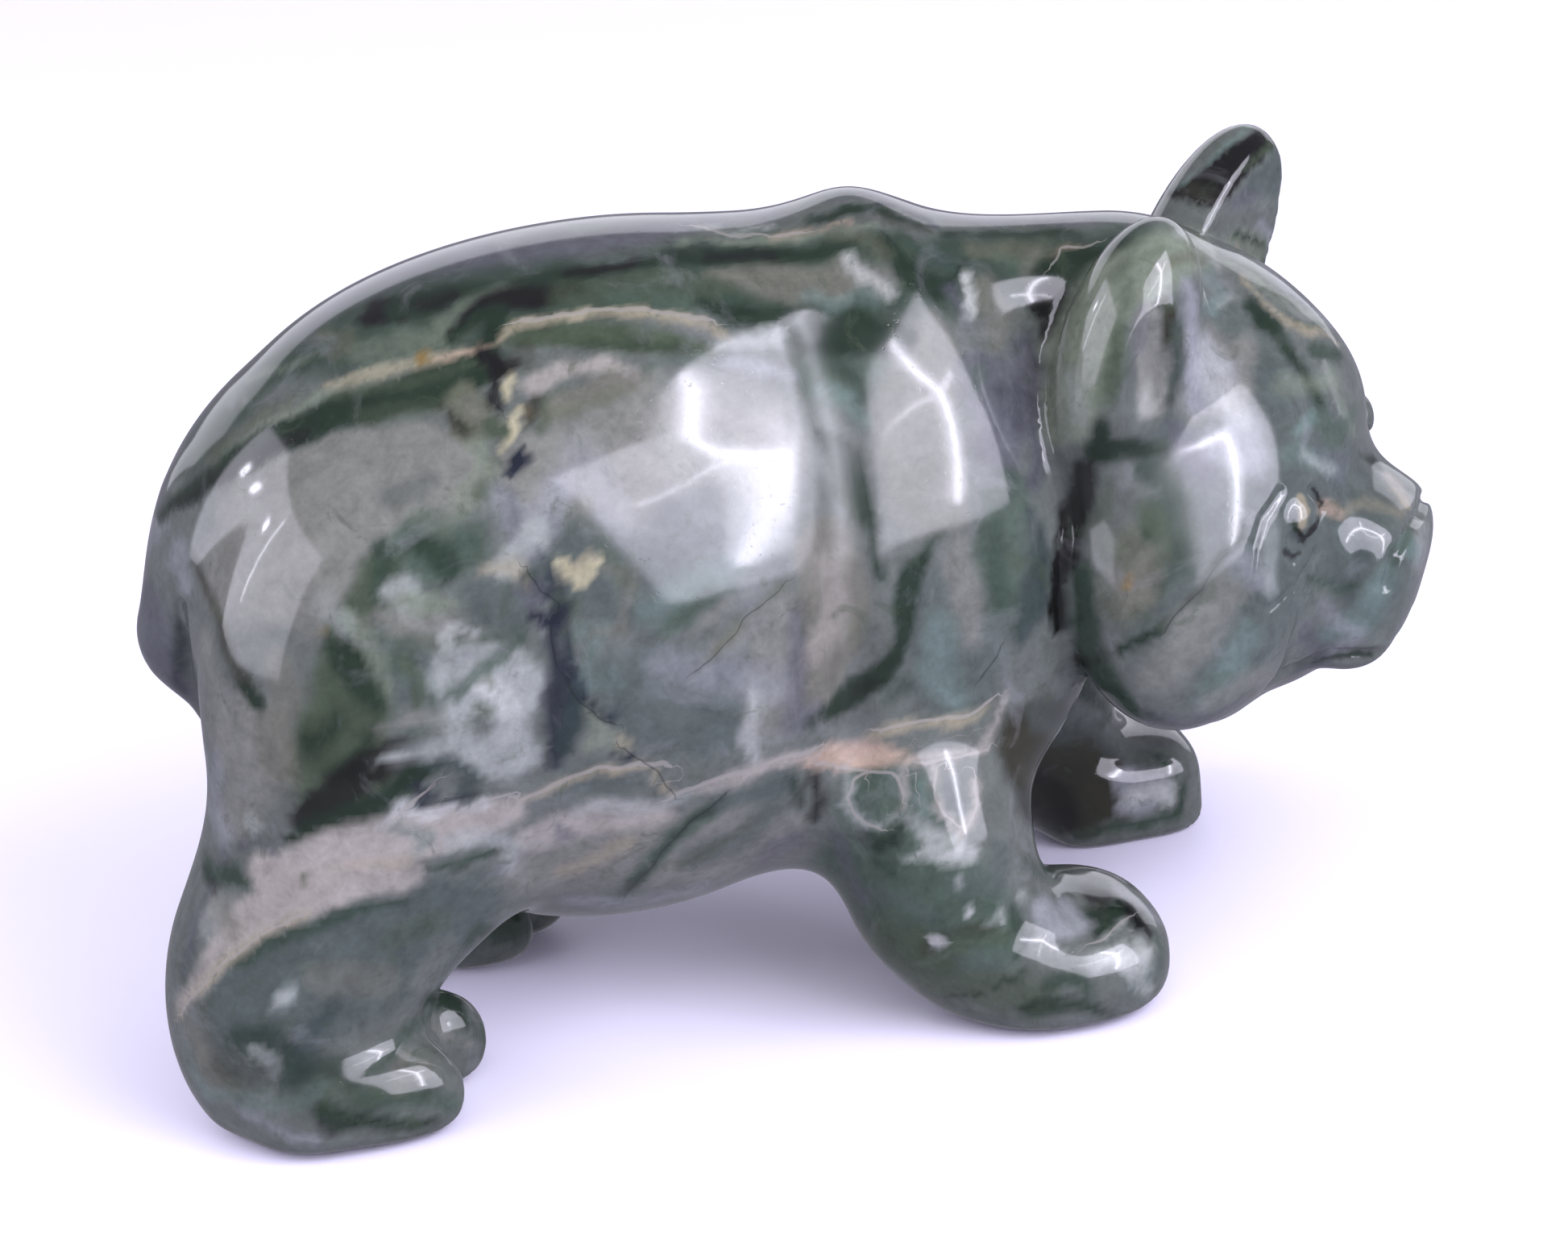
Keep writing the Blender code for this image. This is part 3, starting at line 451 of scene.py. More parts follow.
    ("navy green", 0.8, 0.87, 0.37, ((-16.5, 28.0, 0.43), (-16.0, 26.1, 0.56), (-15.7, 24.2, 0.74),
        (-17.4, 19.9, 0.87))),
    ("navy", 0.9, 0.50, 0.25, ((-13.4, 19.4, 0.31), (-12.2, 18.8, 0.38), (-11.3, 18.4, 0.19))),
    ("sage", 0.7, 0.62, 0.44, ((-15.8, 23.0, 0.25), (-14.4, 21.3, 0.50), (-15.5, 20.1, 0.62),
        (-13.9, 20.6, 0.50), (-13.1, 19.5, 0.37))),
    ("sand", 0.6, 0.50, 0.31, ((-13.0, 20.2, 0.38), (-12.4, 19.6, 0.31))),
    ("teal", 0.6, 0.99, 0.43, ((-15.2, 28.5, 0.74), (-13.3, 29.0, 0.62), (-15.6, 24.8, 0.62),
        (-13.1, 24.6, 0.87))),
    ("slate", 0.6, 1.24, 0.43, ((-14.2, 26.0, 0.62), (-11.6, 21.3, 0.99), (-10.0, 19.2, 0.87))),
    ("moss", 0.7, 0.74, 0.31, ((-15.9, 30.7, 0.56), (-15.6, 30.1, 0.37))),
    ("cream", 0.7, 0.50, 0.31, ((-18.9, 48.9, 0.19), (-19.4, 48.0, 0.31), (-19.3, 47.0, 0.19))),
    ("cream", 0.75, 0.50, 0.31, ((-18.7, 46.2, 0.19), (-19.4, 45.1, 0.50), (-18.8, 44.7, 0.31),
        (-19.8, 43.5, 0.25), (-20.1, 42.6, 0.19))),
    ("ochre", 0.5, 0.62, 0.31, ((-18.3, 45.3, 0.31), (-17.8, 45.6, 0.31), (-18.4, 46.4, 0.25))),
    ("umber", 0.8, 0.75, 0.31, ((-17.5, 46.5, 0.50), (-18.2, 44.4, 0.37), (-17.1, 47.5, 0.37))),
    ("moss", 0.8, 1.12, 0.37, ((-16.2, 46.1, 0.75), (-17.0, 44.3, 0.62), (-15.5, 47.3, 0.56))),
    ("navy", 1, 0.50, 0.25, ((-18.3, 43.1, 0.37), (-18.9, 42.2, 0.62), (-19.4, 41.2, 0.43),
        (-18.0, 42.3, 0.31))),
    ("sage", 0.6, 1.24, 0.37, ((-22.0, 43.4, 0.87), (-20.9, 41.5, 0.74))),
    # Flank.
    ("sand", 0.85, 0.50, 0.19, ((-20.1, 51.9, 0.19), (-18.3, 52.9, 0.38), (-15.2, 53.4, 0.38),
        (-10.8, 53.3, 0.38), (-6.4, 52.7, 0.38), (-3.4, 51.7, 0.31), (-1.9, 50.5, 0.25))),
    ("moss", 1, 0.88, 0.25, ((-18.4, 51.8, 0.56), (-15.2, 51.8, 1.00), (-10.9, 51.5, 1.13),
        (-7.2, 50.8, 1.13), (-4.1, 49.9, 0.75), (-2.6, 49.1, 0.38))),
    ("dark green", 0.45, 0.88, 0.25, ((-13.4, 51.1, 0.38), (-9.1, 50.7, 0.50), (-5.4, 49.9, 0.44))),
    ("umber", 0.5, 0.75, 0.25, ((-18.5, 50.5, 0.50), (-17.3, 49.7, 0.44), (-17.8, 51.4, 0.37))),
    ("green", 0.7, 0.88, 0.25, ((-6.7, 48.9, 0.44), (-4.2, 49.2, 0.44), (-8.6, 48.6, 0.31))),
    ("rose grey", 0.9, 0.87, 0.25, ((-17.4, 48.1, 0.44), (-14.8, 49.2, 0.75), (-12.3, 49.5, 0.62),
        (-9.2, 48.4, 0.37))),
    ("stone grey", 0.9, 1.24, 0.31, ((-15.0, 46.3, 1.00), (-11.2, 47.6, 1.24), (-8.7, 47.4, 0.87))),
    ("olive", 0.6, 0.99, 0.31, ((-16.3, 45.5, 0.62), (-13.8, 45.9, 0.56), (-11.2, 46.7, 0.44),
        (-9.9, 47.5, 0.31))),
    ("pale", 0.8, 0.88, 0.32, ((-2.9, 50.1, 0.25), (-0.9, 50.4, 0.57), (1.6, 50.6, 0.57),
        (3.1, 49.7, 0.38))),
    ("lilac", 0.7, 1.13, 0.25, ((-2.3, 48.6, 0.57), (0.8, 48.1, 0.76), (2.6, 47.3, 0.44))),
    ("pale", 0.25, 2.50, 0.31, ((-6.0, 42.1, 1.50), (-1.8, 39.9, 1.87), (-2.1, 36.2, 1.25))),
    ("violet grey", 0.35, 1.62, 0.31, ((-7.6, 37.9, 1.24), (-5.8, 37.1, 0.99))),
    ("slate", 0.35, 1.63, 0.38, ((-2.6, 45.7, 0.88), (-0.1, 45.5, 0.88))),
    ("olive", 0.45, 1.11, 0.31, ((-13.8, 37.7, 0.56), (-14.6, 38.4, 0.43))),
    ("lilac", 0.45, 1.86, 0.31, ((-15.4, 40.4, 1.24), (-14.0, 42.8, 1.24), (-11.9, 37.6, 1.24))),
    ("slate", 0.55, 1.49, 0.43, ((-13.3, 29.6, 0.99), (-10.7, 30.6, 1.24), (-8.0, 33.5, 1.12))),
    ("stone grey", 0.6, 0.74, 0.43, ((-14.0, 28.4, 0.43), (-12.1, 28.7, 0.43), (-11.1, 32.5, 0.74),
        (-12.9, 33.3, 0.56))),
    ("green", 0.85, 0.87, 0.25, ((-9.1, 28.3, 0.37), (-7.1, 29.7, 1.00), (-5.1, 31.1, 1.12),
        (-3.1, 31.9, 0.75), (-2.2, 32.1, 0.31))),
    ("dark green", 0.35, 0.87, 0.25, ((-7.1, 29.4, 0.50), (-4.8, 30.8, 0.56))),
    ("olive", 0.8, 0.63, 0.19, ((-6.9, 25.0, 0.25), (-4.9, 26.7, 0.44), (-2.2, 29.0, 0.50),
        (0.9, 31.2, 0.31))),
    ("slate", 0.5, 0.87, 0.25, ((-5.4, 27.7, 0.44), (-2.7, 29.3, 0.56), (-0.8, 30.4, 0.44))),
    ("slate", 0.6, 1.37, 0.37, ((-9.4, 24.3, 0.75), (-7.5, 25.4, 0.62), (-6.0, 27.7, 0.50))),
    ("slate", 0.5, 1.64, 0.38, ((-7.4, 19.6, 1.39), (-4.8, 20.7, 1.13))),
    ("white", 0.55, 1.39, 0.25, ((-2.4, 22.3, 0.50), (-3.0, 19.2, 0.76), (-2.9, 17.2, 0.38))),
    ("ash", 0.5, 1.63, 0.31, ((-1.1, 26.7, 1.26), (-0.8, 23.5, 1.13))),
    ("violet grey", 0.75, 1.39, 0.25, ((1.6, 29.0, 0.57), (1.2, 23.9, 0.76), (0.5, 20.1, 0.88),
        (2.2, 21.2, 0.63))),
    ("teal", 0.8, 1.14, 0.32, ((5.0, 45.9, 0.76), (6.9, 45.1, 1.02), (8.0, 43.1, 0.63))),
    ("dark green", 1, 0.89, 0.25, ((4.8, 42.3, 0.57), (6.1, 40.6, 1.39), (6.6, 38.1, 1.39),
        (7.6, 35.4, 0.89), (8.2, 32.8, 0.57), (8.3, 30.9, 0.38))),
    ("moss", 0.5, 0.89, 0.25, ((5.1, 40.1, 0.44), (5.8, 37.2, 0.63), (6.7, 36.1, 0.44))),
    ("stone grey", 0.9, 1.14, 0.32, ((4.7, 35.0, 0.76), (5.4, 32.4, 1.39), (5.4, 28.6, 1.52),
        (3.8, 24.9, 1.26))),
    ("olive", 0.45, 1.14, 0.32, ((5.4, 28.6, 0.76), (5.9, 26.0, 0.64))),
    ("dark green", 0.95, 0.76, 0.25, ((12.2, 32.5, 0.38), (11.1, 31.3, 0.89), (10.1, 29.5, 1.15),
        (9.8, 27.6, 1.02), (9.6, 25.7, 0.76))),
    ("deep green", 0.7, 0.89, 0.25, ((13.6, 34.0, 0.32), (12.2, 32.8, 0.51))),
    ("dark green", 1, 0.89, 0.26, ((9.0, 24.8, 0.77), (7.6, 23.3, 1.02), (5.5, 21.9, 1.02),
        (3.5, 20.8, 0.77), (1.8, 20.0, 0.51))),
    ("black green", 0.5, 0.77, 0.26, ((5.5, 21.9, 0.45), (6.9, 22.4, 0.45))),
    ("deep green", 0.6, 1.15, 0.32, ((9.5, 22.5, 0.58), (8.0, 21.0, 0.58))),
    ("teal", 0.55, 1.54, 0.38, ((13.0, 26.7, 1.15), (12.1, 23.5, 1.41), (13.3, 20.8, 1.03))),
    ("deep green", 0.6, 1.41, 0.38, ((18.8, 37.8, 1.15), (17.2, 34.7, 0.90), (17.8, 29.5, 1.03),
        (18.3, 26.2, 0.77))),
    ("navy green", 0.8, 1.16, 0.26, ((20.9, 35.1, 0.52), (21.3, 31.2, 0.90), (20.4, 27.3, 1.03),
        (19.2, 24.8, 0.58))),
    ("black green", 1, 0.65, 0.13, ((23.8, 34.9, 0.52), (23.0, 31.0, 0.71), (22.6, 27.8, 0.78),
        (22.5, 25.5, 0.58))),
    ("ash", 0.5, 1.28, 0.38, ((14.1, 31.7, 0.77), (15.1, 27.8, 0.77))),
    # Beside the pale seam.
    ("rose grey", 0.85, 0.89, 0.32, ((-7.8, 15.4, 0.25), (-5.3, 15.8, 0.51), (-2.0, 16.8, 0.51),
        (0.6, 17.2, 0.57), (3.2, 17.2, 0.89), (5.8, 17.3, 0.89))),
    ("peach", 0.9, 0.90, 0.26, ((1.2, 16.9, 0.45), (3.2, 17.1, 0.90), (5.8, 17.1, 1.02),
        (8.3, 16.7, 0.64), (9.6, 16.3, 0.38))),
    ("sand", 0.8, 0.64, 0.26, ((6.6, 18.5, 0.32), (9.8, 18.9, 0.45), (13.1, 18.9, 0.39),
        (15.8, 19.6, 0.26))),
    ("rose grey", 0.75, 0.65, 0.26, ((9.6, 16.3, 0.32), (12.9, 16.3, 0.39), (15.3, 16.7, 0.32),
        (16.8, 18.5, 0.32), (17.6, 20.4, 0.26))),
    ("sand", 0.8, 0.50, 0.25, ((-21.6, 15.8, 0.25), (-17.7, 17.1, 0.31), (-15.1, 17.8, 0.38),
        (-11.3, 18.1, 0.31), (-9.7, 15.6, 0.19))),
    ("slate", 0.7, 0.88, 0.32, ((-18.5, 16.2, 0.44), (-15.2, 16.8, 0.57), (-12.1, 16.9, 0.50))),
    ("slate", 0.5, 1.13, 0.31, ((-17.6, 18.0, 0.44), (-15.1, 18.4, 0.44))),
    ("rose grey", 0.9, 1.14, 0.38, ((-21.4, 13.2, 0.89), (-18.2, 13.5, 1.27), (-14.4, 13.8, 1.27),
        (-10.5, 14.1, 0.89))),
    ("pale", 0.7, 1.14, 0.38, ((-16.8, 14.7, 0.44), (-13.0, 14.7, 0.57), (-8.5, 14.9, 0.38))),
    ("sand", 0.55, 1.03, 0.32, ((-18.8, 9.8, 0.51), (-16.1, 10.6, 0.64), (-13.4, 11.7, 0.51))),
    ("violet grey", 0.6, 0.63, 0.38, ((-18.5, 13.8, 0.38), (-17.7, 12.8, 0.44), (-18.3, 12.5, 0.32))),
    ("green", 0.9, 0.91, 0.26, ((-14.7, 7.2, 0.39), (-12.4, 9.5, 0.78), (-9.5, 11.9, 0.78),
        (-6.8, 13.7, 0.52), (-5.1, 14.5, 0.33))),
    ("dark green", 0.6, 0.52, 0.20, ((-14.3, 7.5, 0.26), (-11.6, 10.1, 0.33), (-8.1, 13.1, 0.33),
        (-5.7, 14.4, 0.26))),
    ("slate", 0.9, 1.02, 0.26, ((-6.1, 13.9, 0.45), (-3.5, 14.6, 0.64), (-0.2, 15.3, 0.77))),
    ("slate", 0.8, 1.55, 0.32, ((-8.5, 9.7, 1.04), (-4.4, 11.3, 1.29), (-1.7, 13.1, 0.91))),
    ("moss", 0.6, 0.91, 0.32, ((-9.8, 9.2, 0.52), (-5.7, 11.2, 0.52), (-3.7, 12.6, 0.39))),
    ("violet grey", 0.6, 1.31, 0.26, ((-2.0, 9.6, 0.78), (-0.3, 10.5, 0.78), (-3.4, 8.3, 0.59))),
    ("lilac", 0.6, 1.18, 0.26, ((-19.2, 7.2, 0.52), (-13.5, 6.2, 0.52), (-7.5, 7.3, 0.39))),
    ("black green", 0.85, 0.77, 0.19, ((1.7, 15.8, 0.58), (2.1, 13.4, 0.58), (1.4, 12.1, 0.39))),
    ("dark green", 0.8, 1.03, 0.26, ((0.1, 15.2, 0.45), (0.3, 13.6, 0.58))),
    # Hind leg.
    ("rose grey", 1, 1.13, 0.31, ((-41.5, 11.9, 1.51), (-37.0, 12.5, 2.26), (-32.4, 13.4, 2.26),
        (-26.7, 14.4, 1.64), (-21.7, 15.2, 0.88))),
    ("sand", 0.5, 1.38, 0.31, ((-39.8, 10.5, 0.88), (-34.6, 11.3, 1.13), (-30.7, 12.2, 0.75))),
    ("rose grey", 0.95, 1.02, 0.26, ((-49.9, 1.7, 0.51), (-46.9, 5.2, 1.02), (-43.3, 8.2, 1.66),
        (-39.2, 10.1, 1.92), (-34.1, 10.6, 1.28), (-29.7, 10.8, 0.64))),
    ("sand", 0.7, 0.64, 0.19, ((-50.4, 1.0, 0.26), (-47.1, 4.2, 0.38), (-42.8, 6.9, 0.38),
        (-38.7, 8.5, 0.32))),
    ("stone grey", 0.6, 1.52, 0.32, ((-45.8, 9.6, 0.89), (-44.7, 7.6, 0.76))),
    ("slate", 0.6, 1.15, 0.26, ((-49.5, 5.2, 0.57), (-48.5, 7.8, 0.57), (-49.7, 3.3, 0.51))),
    ("violet grey", 0.5, 0.77, 0.32, ((-49.3, 4.6, 0.38), (-48.1, 8.4, 0.32), (-44.7, 14.0, 0.51))),
    ("deep green", 0.9, 0.89, 0.38, ((-46.4, 13.7, 0.51), (-46.2, 12.1, 0.89), (-44.2, 12.1, 0.89),
        (-43.1, 11.4, 0.57))),
    ("black green", 0.6, 0.64, 0.32, ((-46.7, 12.5, 0.32), (-46.1, 10.9, 0.38))),
    ("lilac", 0.55, 1.51, 0.25, ((-44.8, 21.6, 0.50), (-45.7, 17.8, 0.76), (-44.6, 15.2, 0.88))),
    ("pale", 0.7, 0.88, 0.38, ((-42.2, 16.1, 0.50), (-41.9, 15.4, 0.44))),
    ("violet grey", 0.6, 0.76, 0.31, ((-43.3, 14.2, 0.44), (-41.6, 14.4, 0.57), (-40.7, 13.7, 0.38))),
    ("olive", 0.8, 0.50, 0.25, ((-38.8, 11.4, 0.38), (-38.7, 11.0, 0.25))),
    ("teal", 0.55, 0.88, 0.38, ((-31.0, 14.9, 0.44), (-28.7, 13.7, 0.56), (-30.0, 12.8, 0.44))),
    ("white", 0.65, 0.63, 0.38, ((-32.3, 14.7, 0.25), (-30.2, 16.4, 0.44), (-28.4, 15.6, 0.38),
        (-24.1, 16.1, 0.38))),
    ("pale", 0.7, 0.88, 0.31, ((-26.9, 13.1, 0.50), (-24.4, 13.5, 0.57), (-22.1, 12.6, 0.50),
        (-23.0, 10.7, 0.38))),
    ("deep green", 0.9, 0.50, 0.19, ((-29.0, 11.1, 0.25), (-27.1, 11.5, 0.38), (-24.6, 12.0, 0.32),
        (-23.7, 12.2, 0.19))),
    ("slate", 0.6, 0.89, 0.25, ((-26.1, 10.4, 0.38), (-23.6, 10.4, 0.44))),
    ("deep green", 0.85, 0.76, 0.25, ((-44.9, 5.1, 0.25), (-41.5, 6.4, 0.51), (-37.6, 7.7, 0.57),
        (-33.7, 8.6, 0.44), (-31.2, 9.0, 0.25))),
    ("slate", 0.8, 1.64, 0.32, ((-41.8, 4.2, 1.26), (-36.0, 5.6, 1.64), (-30.2, 6.9, 1.90),
        (-25.2, 8.2, 1.52))),
    ("stone grey", 0.5, 1.65, 0.38, ((-38.1, 3.2, 1.27), (-33.9, 2.7, 1.39))),
    ("moss", 0.5, 1.52, 0.32, ((-32.8, 5.9, 1.01), (-29.0, 6.7, 1.01))),
    ("ash", 0.45, 1.54, 0.38, ((-28.8, 4.6, 0.90), (-31.0, 2.2, 0.77))),
    ("pale", 0.85, 0.76, 0.38, ((-41.8, 1.6, 0.70), (-41.0, 2.1, 0.51), (-42.5, 1.1, 0.32))),
    ("dark green", 0.65, 1.40, 0.38, ((-45.0, -0.8, 1.02), (-43.1, -0.9, 1.14), (-40.9, -3.8, 1.53),
        (-37.8, -4.1, 1.14))),
    ("navy green", 0.6, 1.15, 0.38, ((-40.3, -3.8, 0.89), (-42.3, -5.0, 0.89), (-37.8, 0.5, 0.77))),
    ("pale", 0.85, 0.64, 0.38, ((-44.0, -2.2, 0.57), (-43.4, -3.0, 0.70), (-42.7, -3.5, 0.38))),
    ("stone grey", 0.7, 1.66, 0.32, ((-49.1, -0.6, 0.90), (-48.1, -3.3, 1.28), (-46.4, -5.4, 1.15))),
    ("teal", 0.5, 1.16, 0.39, ((-50.0, -1.3, 0.39), (-48.6, -5.4, 0.58), (-43.1, -6.8, 0.58),
        (-39.2, -5.9, 0.58))),
    ("dark green", 0.9, 0.89, 0.32, ((-39.3, -7.5, 0.89), (-37.6, -8.6, 0.89), (-33.9, -9.1, 0.64),
        (-30.8, -9.2, 0.45))),
    ("black green", 0.6, 0.77, 0.26, ((-39.7, -8.4, 0.51), (-38.9, -9.2, 0.45))),
    ("green", 0.8, 1.28, 0.32, ((-36.1, -6.8, 1.15), (-32.9, -6.6, 0.89), (-29.4, -7.8, 0.89))),
    ("stone grey", 0.6, 1.15, 0.32, ((-32.8, -4.1, 0.77), (-33.5, -5.8, 0.77), (-31.0, -4.9, 0.77))),
    ("deep green", 0.7, 0.89, 0.26, ((-37.3, -5.7, 0.32), (-34.6, -3.8, 0.51), (-32.4, -1.7, 0.51),
        (-30.4, -0.4, 0.38))),
    ("dark green", 0.9, 0.92, 0.26, ((-30.4, 0.3, 0.52), (-28.9, -0.9, 0.92), (-27.5, -2.8, 0.59),
        (-27.1, -5.5, 0.39))),
    ("ash", 0.7, 0.65, 0.26, ((-30.8, -1.9, 0.33), (-29.4, -3.1, 0.39), (-27.7, -4.2, 0.26))),
    ("lilac", 0.5, 0.90, 0.32, ((-46.0, -7.1, 0.39), (-42.7, -8.9, 0.45), (-40.3, -9.7, 0.32))),
    # Fore leg.
    ("green", 0.8, 0.90, 0.26, ((5.9, 14.0, 0.78), (7.1, 12.9, 0.90), (6.6, 15.3, 0.58))),
    ("slate", 0.85, 0.91, 0.26, ((12.6, 13.4, 0.91), (12.8, 12.1, 0.91), (11.8, 11.2, 0.45))),
    ("teal", 0.6, 0.90, 0.26, ((10.1, 14.3, 0.65), (10.5, 12.0, 0.58))),
    ("pale", 0.75, 0.52, 0.26, ((4.3, 15.1, 0.26), (3.9, 13.2, 0.32), (4.7, 11.7, 0.32),
        (6.3, 11.0, 0.26), (7.9, 11.6, 0.19))),
    ("rose grey", 0.8, 0.65, 0.26, ((8.6, 15.7, 0.26), (8.9, 13.8, 0.32), (8.5, 12.5, 0.26))),
    ("rose grey", 0.75, 0.65, 0.26, ((11.2, 15.5, 0.26), (11.2, 13.6, 0.32), (11.5, 11.6, 0.32),
        (13.0, 9.8, 0.45), (14.6, 11.6, 0.32), (14.8, 13.8, 0.26))),
    ("white", 0.75, 0.91, 0.39, ((8.6, 8.2, 0.32), (10.3, 8.8, 0.52), (12.2, 8.3, 0.78),
        (13.8, 8.4, 0.45), (10.4, 10.1, 0.39))),
    ("dark green", 0.85, 0.78, 0.32, ((4.6, 10.8, 0.45), (6.2, 9.7, 0.78), (7.8, 9.9, 0.78),
        (8.2, 10.9, 0.45))),
    ("deep green", 0.8, 0.91, 0.32, ((6.0, 8.1, 0.58), (7.3, 7.3, 0.45))),
    ("violet grey", 0.6, 1.17, 0.26, ((2.7, 10.6, 0.59), (3.5, 8.2, 0.59), (4.8, 5.1, 0.59))),
    ("slate", 0.6, 0.91, 0.33, ((5.5, 5.7, 0.52), (8.0, 5.0, 0.52), (9.9, 3.5, 0.52))),
    ("moss", 0.7, 1.31, 0.33, ((9.1, 1.5, 0.91), (10.9, 0.0, 1.04), (13.7, 1.8, 0.91), (15.6, 1.2, 0.78))),
    ("umber", 0.5, 0.91, 0.26, ((9.7, 0.8, 0.52), (11.4, 2.0, 0.39), (14.4, 2.0, 0.52))),
    ("slate", 0.7, 1.17, 0.32, ((12.6, 5.9, 1.04), (15.3, 5.6, 0.78), (16.2, 8.1, 0.65))),
    ("white", 0.9, 0.45, 0.19, ((13.2, 3.4, 0.39), (13.3, 3.2, 0.32))),
    ("white", 0.85, 0.52, 0.26, ((10.5, 1.5, 0.39), (11.0, 1.2, 0.39))),
    ("pale", 0.7, 0.39, 0.19, ((12.2, 6.9, 0.13), (12.6, 5.3, 0.13), (13.0, 3.7, 0.19))),
    ("pale", 0.7, 0.52, 0.26, ((14.1, 2.5, 0.20), (15.4, 2.8, 0.26), (16.3, 3.6, 0.20), (15.7, 2.2, 0.20))),
    ("lilac", 0.8, 1.05, 0.33, ((19.2, 3.1, 0.66), (20.4, 1.6, 1.18), (22.4, 1.4, 0.92), (21.2, 2.8, 0.79))),
    ("pale", 0.7, 0.65, 0.26, ((17.6, 4.3, 0.39), (17.9, 4.7, 0.26))),
    ("deep green", 0.85, 0.65, 0.26, ((16.5, 3.5, 0.39), (17.2, 2.0, 0.65), (17.7, 0.3, 0.52),
        (16.9, -0.6, 0.26))),
    ("deep green", 0.8, 0.79, 0.26, ((18.5, 6.8, 0.46), (20.2, 5.4, 0.59), (22.3, 4.5, 0.46))),
    ("violet grey", 0.5, 0.66, 0.20, ((19.6, 8.0, 0.26), (23.5, 5.7, 0.26), (27.1, 3.6, 0.26))),
    ("black green", 1, 0.80, 0.33, ((23.2, 3.8, 0.47), (24.7, 3.0, 0.80), (26.3, 2.2, 0.80),
        (27.1, 0.9, 0.80), (28.0, -0.1, 0.47))),
    ("dark green", 0.9, 0.79, 0.33, ((23.2, 2.2, 0.46), (24.7, 1.2, 0.66), (23.6, 0.4, 0.53),
        (25.6, 2.3, 0.59))),
    ("lilac", 0.6, 0.67, 0.20, ((25.8, 4.3, 0.27), (27.9, 2.6, 0.27), (29.2, 0.6, 0.27))),
    ("pale", 0.85, 1.05, 0.46, ((22.7, -1.8, 0.59), (25.0, -1.4, 1.05), (27.4, -2.3, 0.92),
        (26.9, -0.3, 0.46))),
    ("white", 0.7, 0.66, 0.39, ((24.3, -1.6, 0.39), (26.0, -2.5, 0.52), (27.8, -1.4, 0.33))),
    ("white", 0.6, 0.39, 0.26, ((22.8, -0.5, 0.13), (23.9, -0.1, 0.20), (25.0, 0.8, 0.20),
        (26.1, 1.3, 0.13))),
    ("pale", 0.6, 0.39, 0.26, ((18.9, 0.5, 0.13), (20.2, -0.2, 0.20), (21.8, -0.7, 0.13))),
    ("deep green", 0.9, 0.92, 0.33, ((19.2, -3.1, 0.59), (21.2, -2.9, 0.92), (22.1, -4.1, 0.65))),
    ("dark green", 0.85, 0.92, 0.26, ((17.1, -5.0, 0.39), (19.1, -4.8, 0.79), (21.7, -5.4, 0.79),
        (23.7, -6.1, 0.33))),
    ("slate", 0.7, 0.92, 0.26, ((25.8, -4.5, 0.53), (28.0, -3.5, 0.53), (28.9, -1.9, 0.33))),
    ("deep green", 0.6, 0.53, 0.20, ((28.7, -0.3, 0.26), (29.1, -1.7, 0.26), (28.8, -3.3, 0.20))),
    ("dark green", 0.7, 0.40, 0.20, ((11.1, -3.9, 0.13), (14.0, -3.6, 0.20), (16.3, -2.5, 0.20),
        (18.1, -1.3, 0.13))),
    ("slate", 0.5, 1.44, 0.26, ((12.8, -0.9, 1.18), (15.4, -1.1, 0.92))),
    # Far legs and tail.
    ("umber", 1, 1.32, 0.20, ((20.5, 16.1, 3.97), (26.0, 11.2, 3.97), (31.1, 10.7, 2.65))),
    ("black green", 0.9, 1.59, 0.20, ((19.4, 11.5, 1.59), (23.7, 8.5, 1.32), (21.8, 13.1, 1.32))),
    # The lilac and the white markings below are a painted highlight on the flat top of the far fore paw.
    ("lilac", 0.9, 0.86, 0.14, ((29.8, 12.3, 1.72), (32.7, 12.0, 1.86), (31.8, 9.9, 1.72),
        (29.6, 9.4, 1.00))),
    ("white", 0.6, 1.00, 0.29, ((30.3, 10.1, 0.57), (32.6, 11.6, 1.00), (34.2, 10.4, 0.72))),
    ("slate", 0.6, 1.45, 0.26, ((20.6, 18.8, 1.31), (24.9, 17.1, 1.31), (27.1, 15.4, 0.92))),
    ("deep green", 0.9, 0.57, 0.14, ((28.7, 6.9, 0.65), (32.4, 7.3, 0.57), (35.5, 8.8, 0.57),
        (36.2, 11.6, 0.43), (32.9, 15.4, 0.36))),
    ("dark green", 0.8, 0.72, 0.22, ((25.1, 6.9, 0.65), (27.2, 6.7, 0.57))),
    ("deep green", 0.9, 0.91, 0.26, ((-25.8, 5.1, 1.30), (-24.8, 4.2, 1.30), (-21.7, 4.2, 0.91))),
    ("violet grey", 0.8, 1.93, 0.19, ((-49.7, 34.1, 1.29), (-49.6, 29.6, 1.93), (-48.5, 26.8, 1.29))),
    ("lilac", 0.6, 1.14, 0.19, ((-46.6, 37.7, 0.57), (-46.2, 35.1, 0.57), (-47.2, 37.1, 0.57))),
    # Painted shadow: navy along the notch between the tail and the right buttock.
    ("navy", 0.6, 0.90, 0.19, ((-47.3, 32.0, 0.38), (-47.5, 28.7, 0.51), (-48.5, 26.8, 0.51))),
    # Head.
    ("slate", 0.75, 3.87, 0.32, ((34.5, 26.1, 7.10), (39.2, 34.8, 7.75), (36.1, 44.2, 7.10),
        (45.0, 34.4, 6.46), (48.8, 27.5, 3.87))),
    ("sage", 1, 1.67, 0.26, ((24.7, 42.4, 1.92), (25.7, 47.4, 2.56), (28.6, 52.2, 2.56),
        (33.3, 54.3, 2.31), (37.0, 55.0, 1.67))),
    ("sage", 0.9, 1.41, 0.26, ((24.3, 45.0, 1.41), (23.7, 41.3, 1.03))),
    ("moss", 0.8, 1.14, 0.25, ((28.5, 48.3, 0.57), (27.6, 45.2, 0.89), (27.2, 43.4, 0.89))),
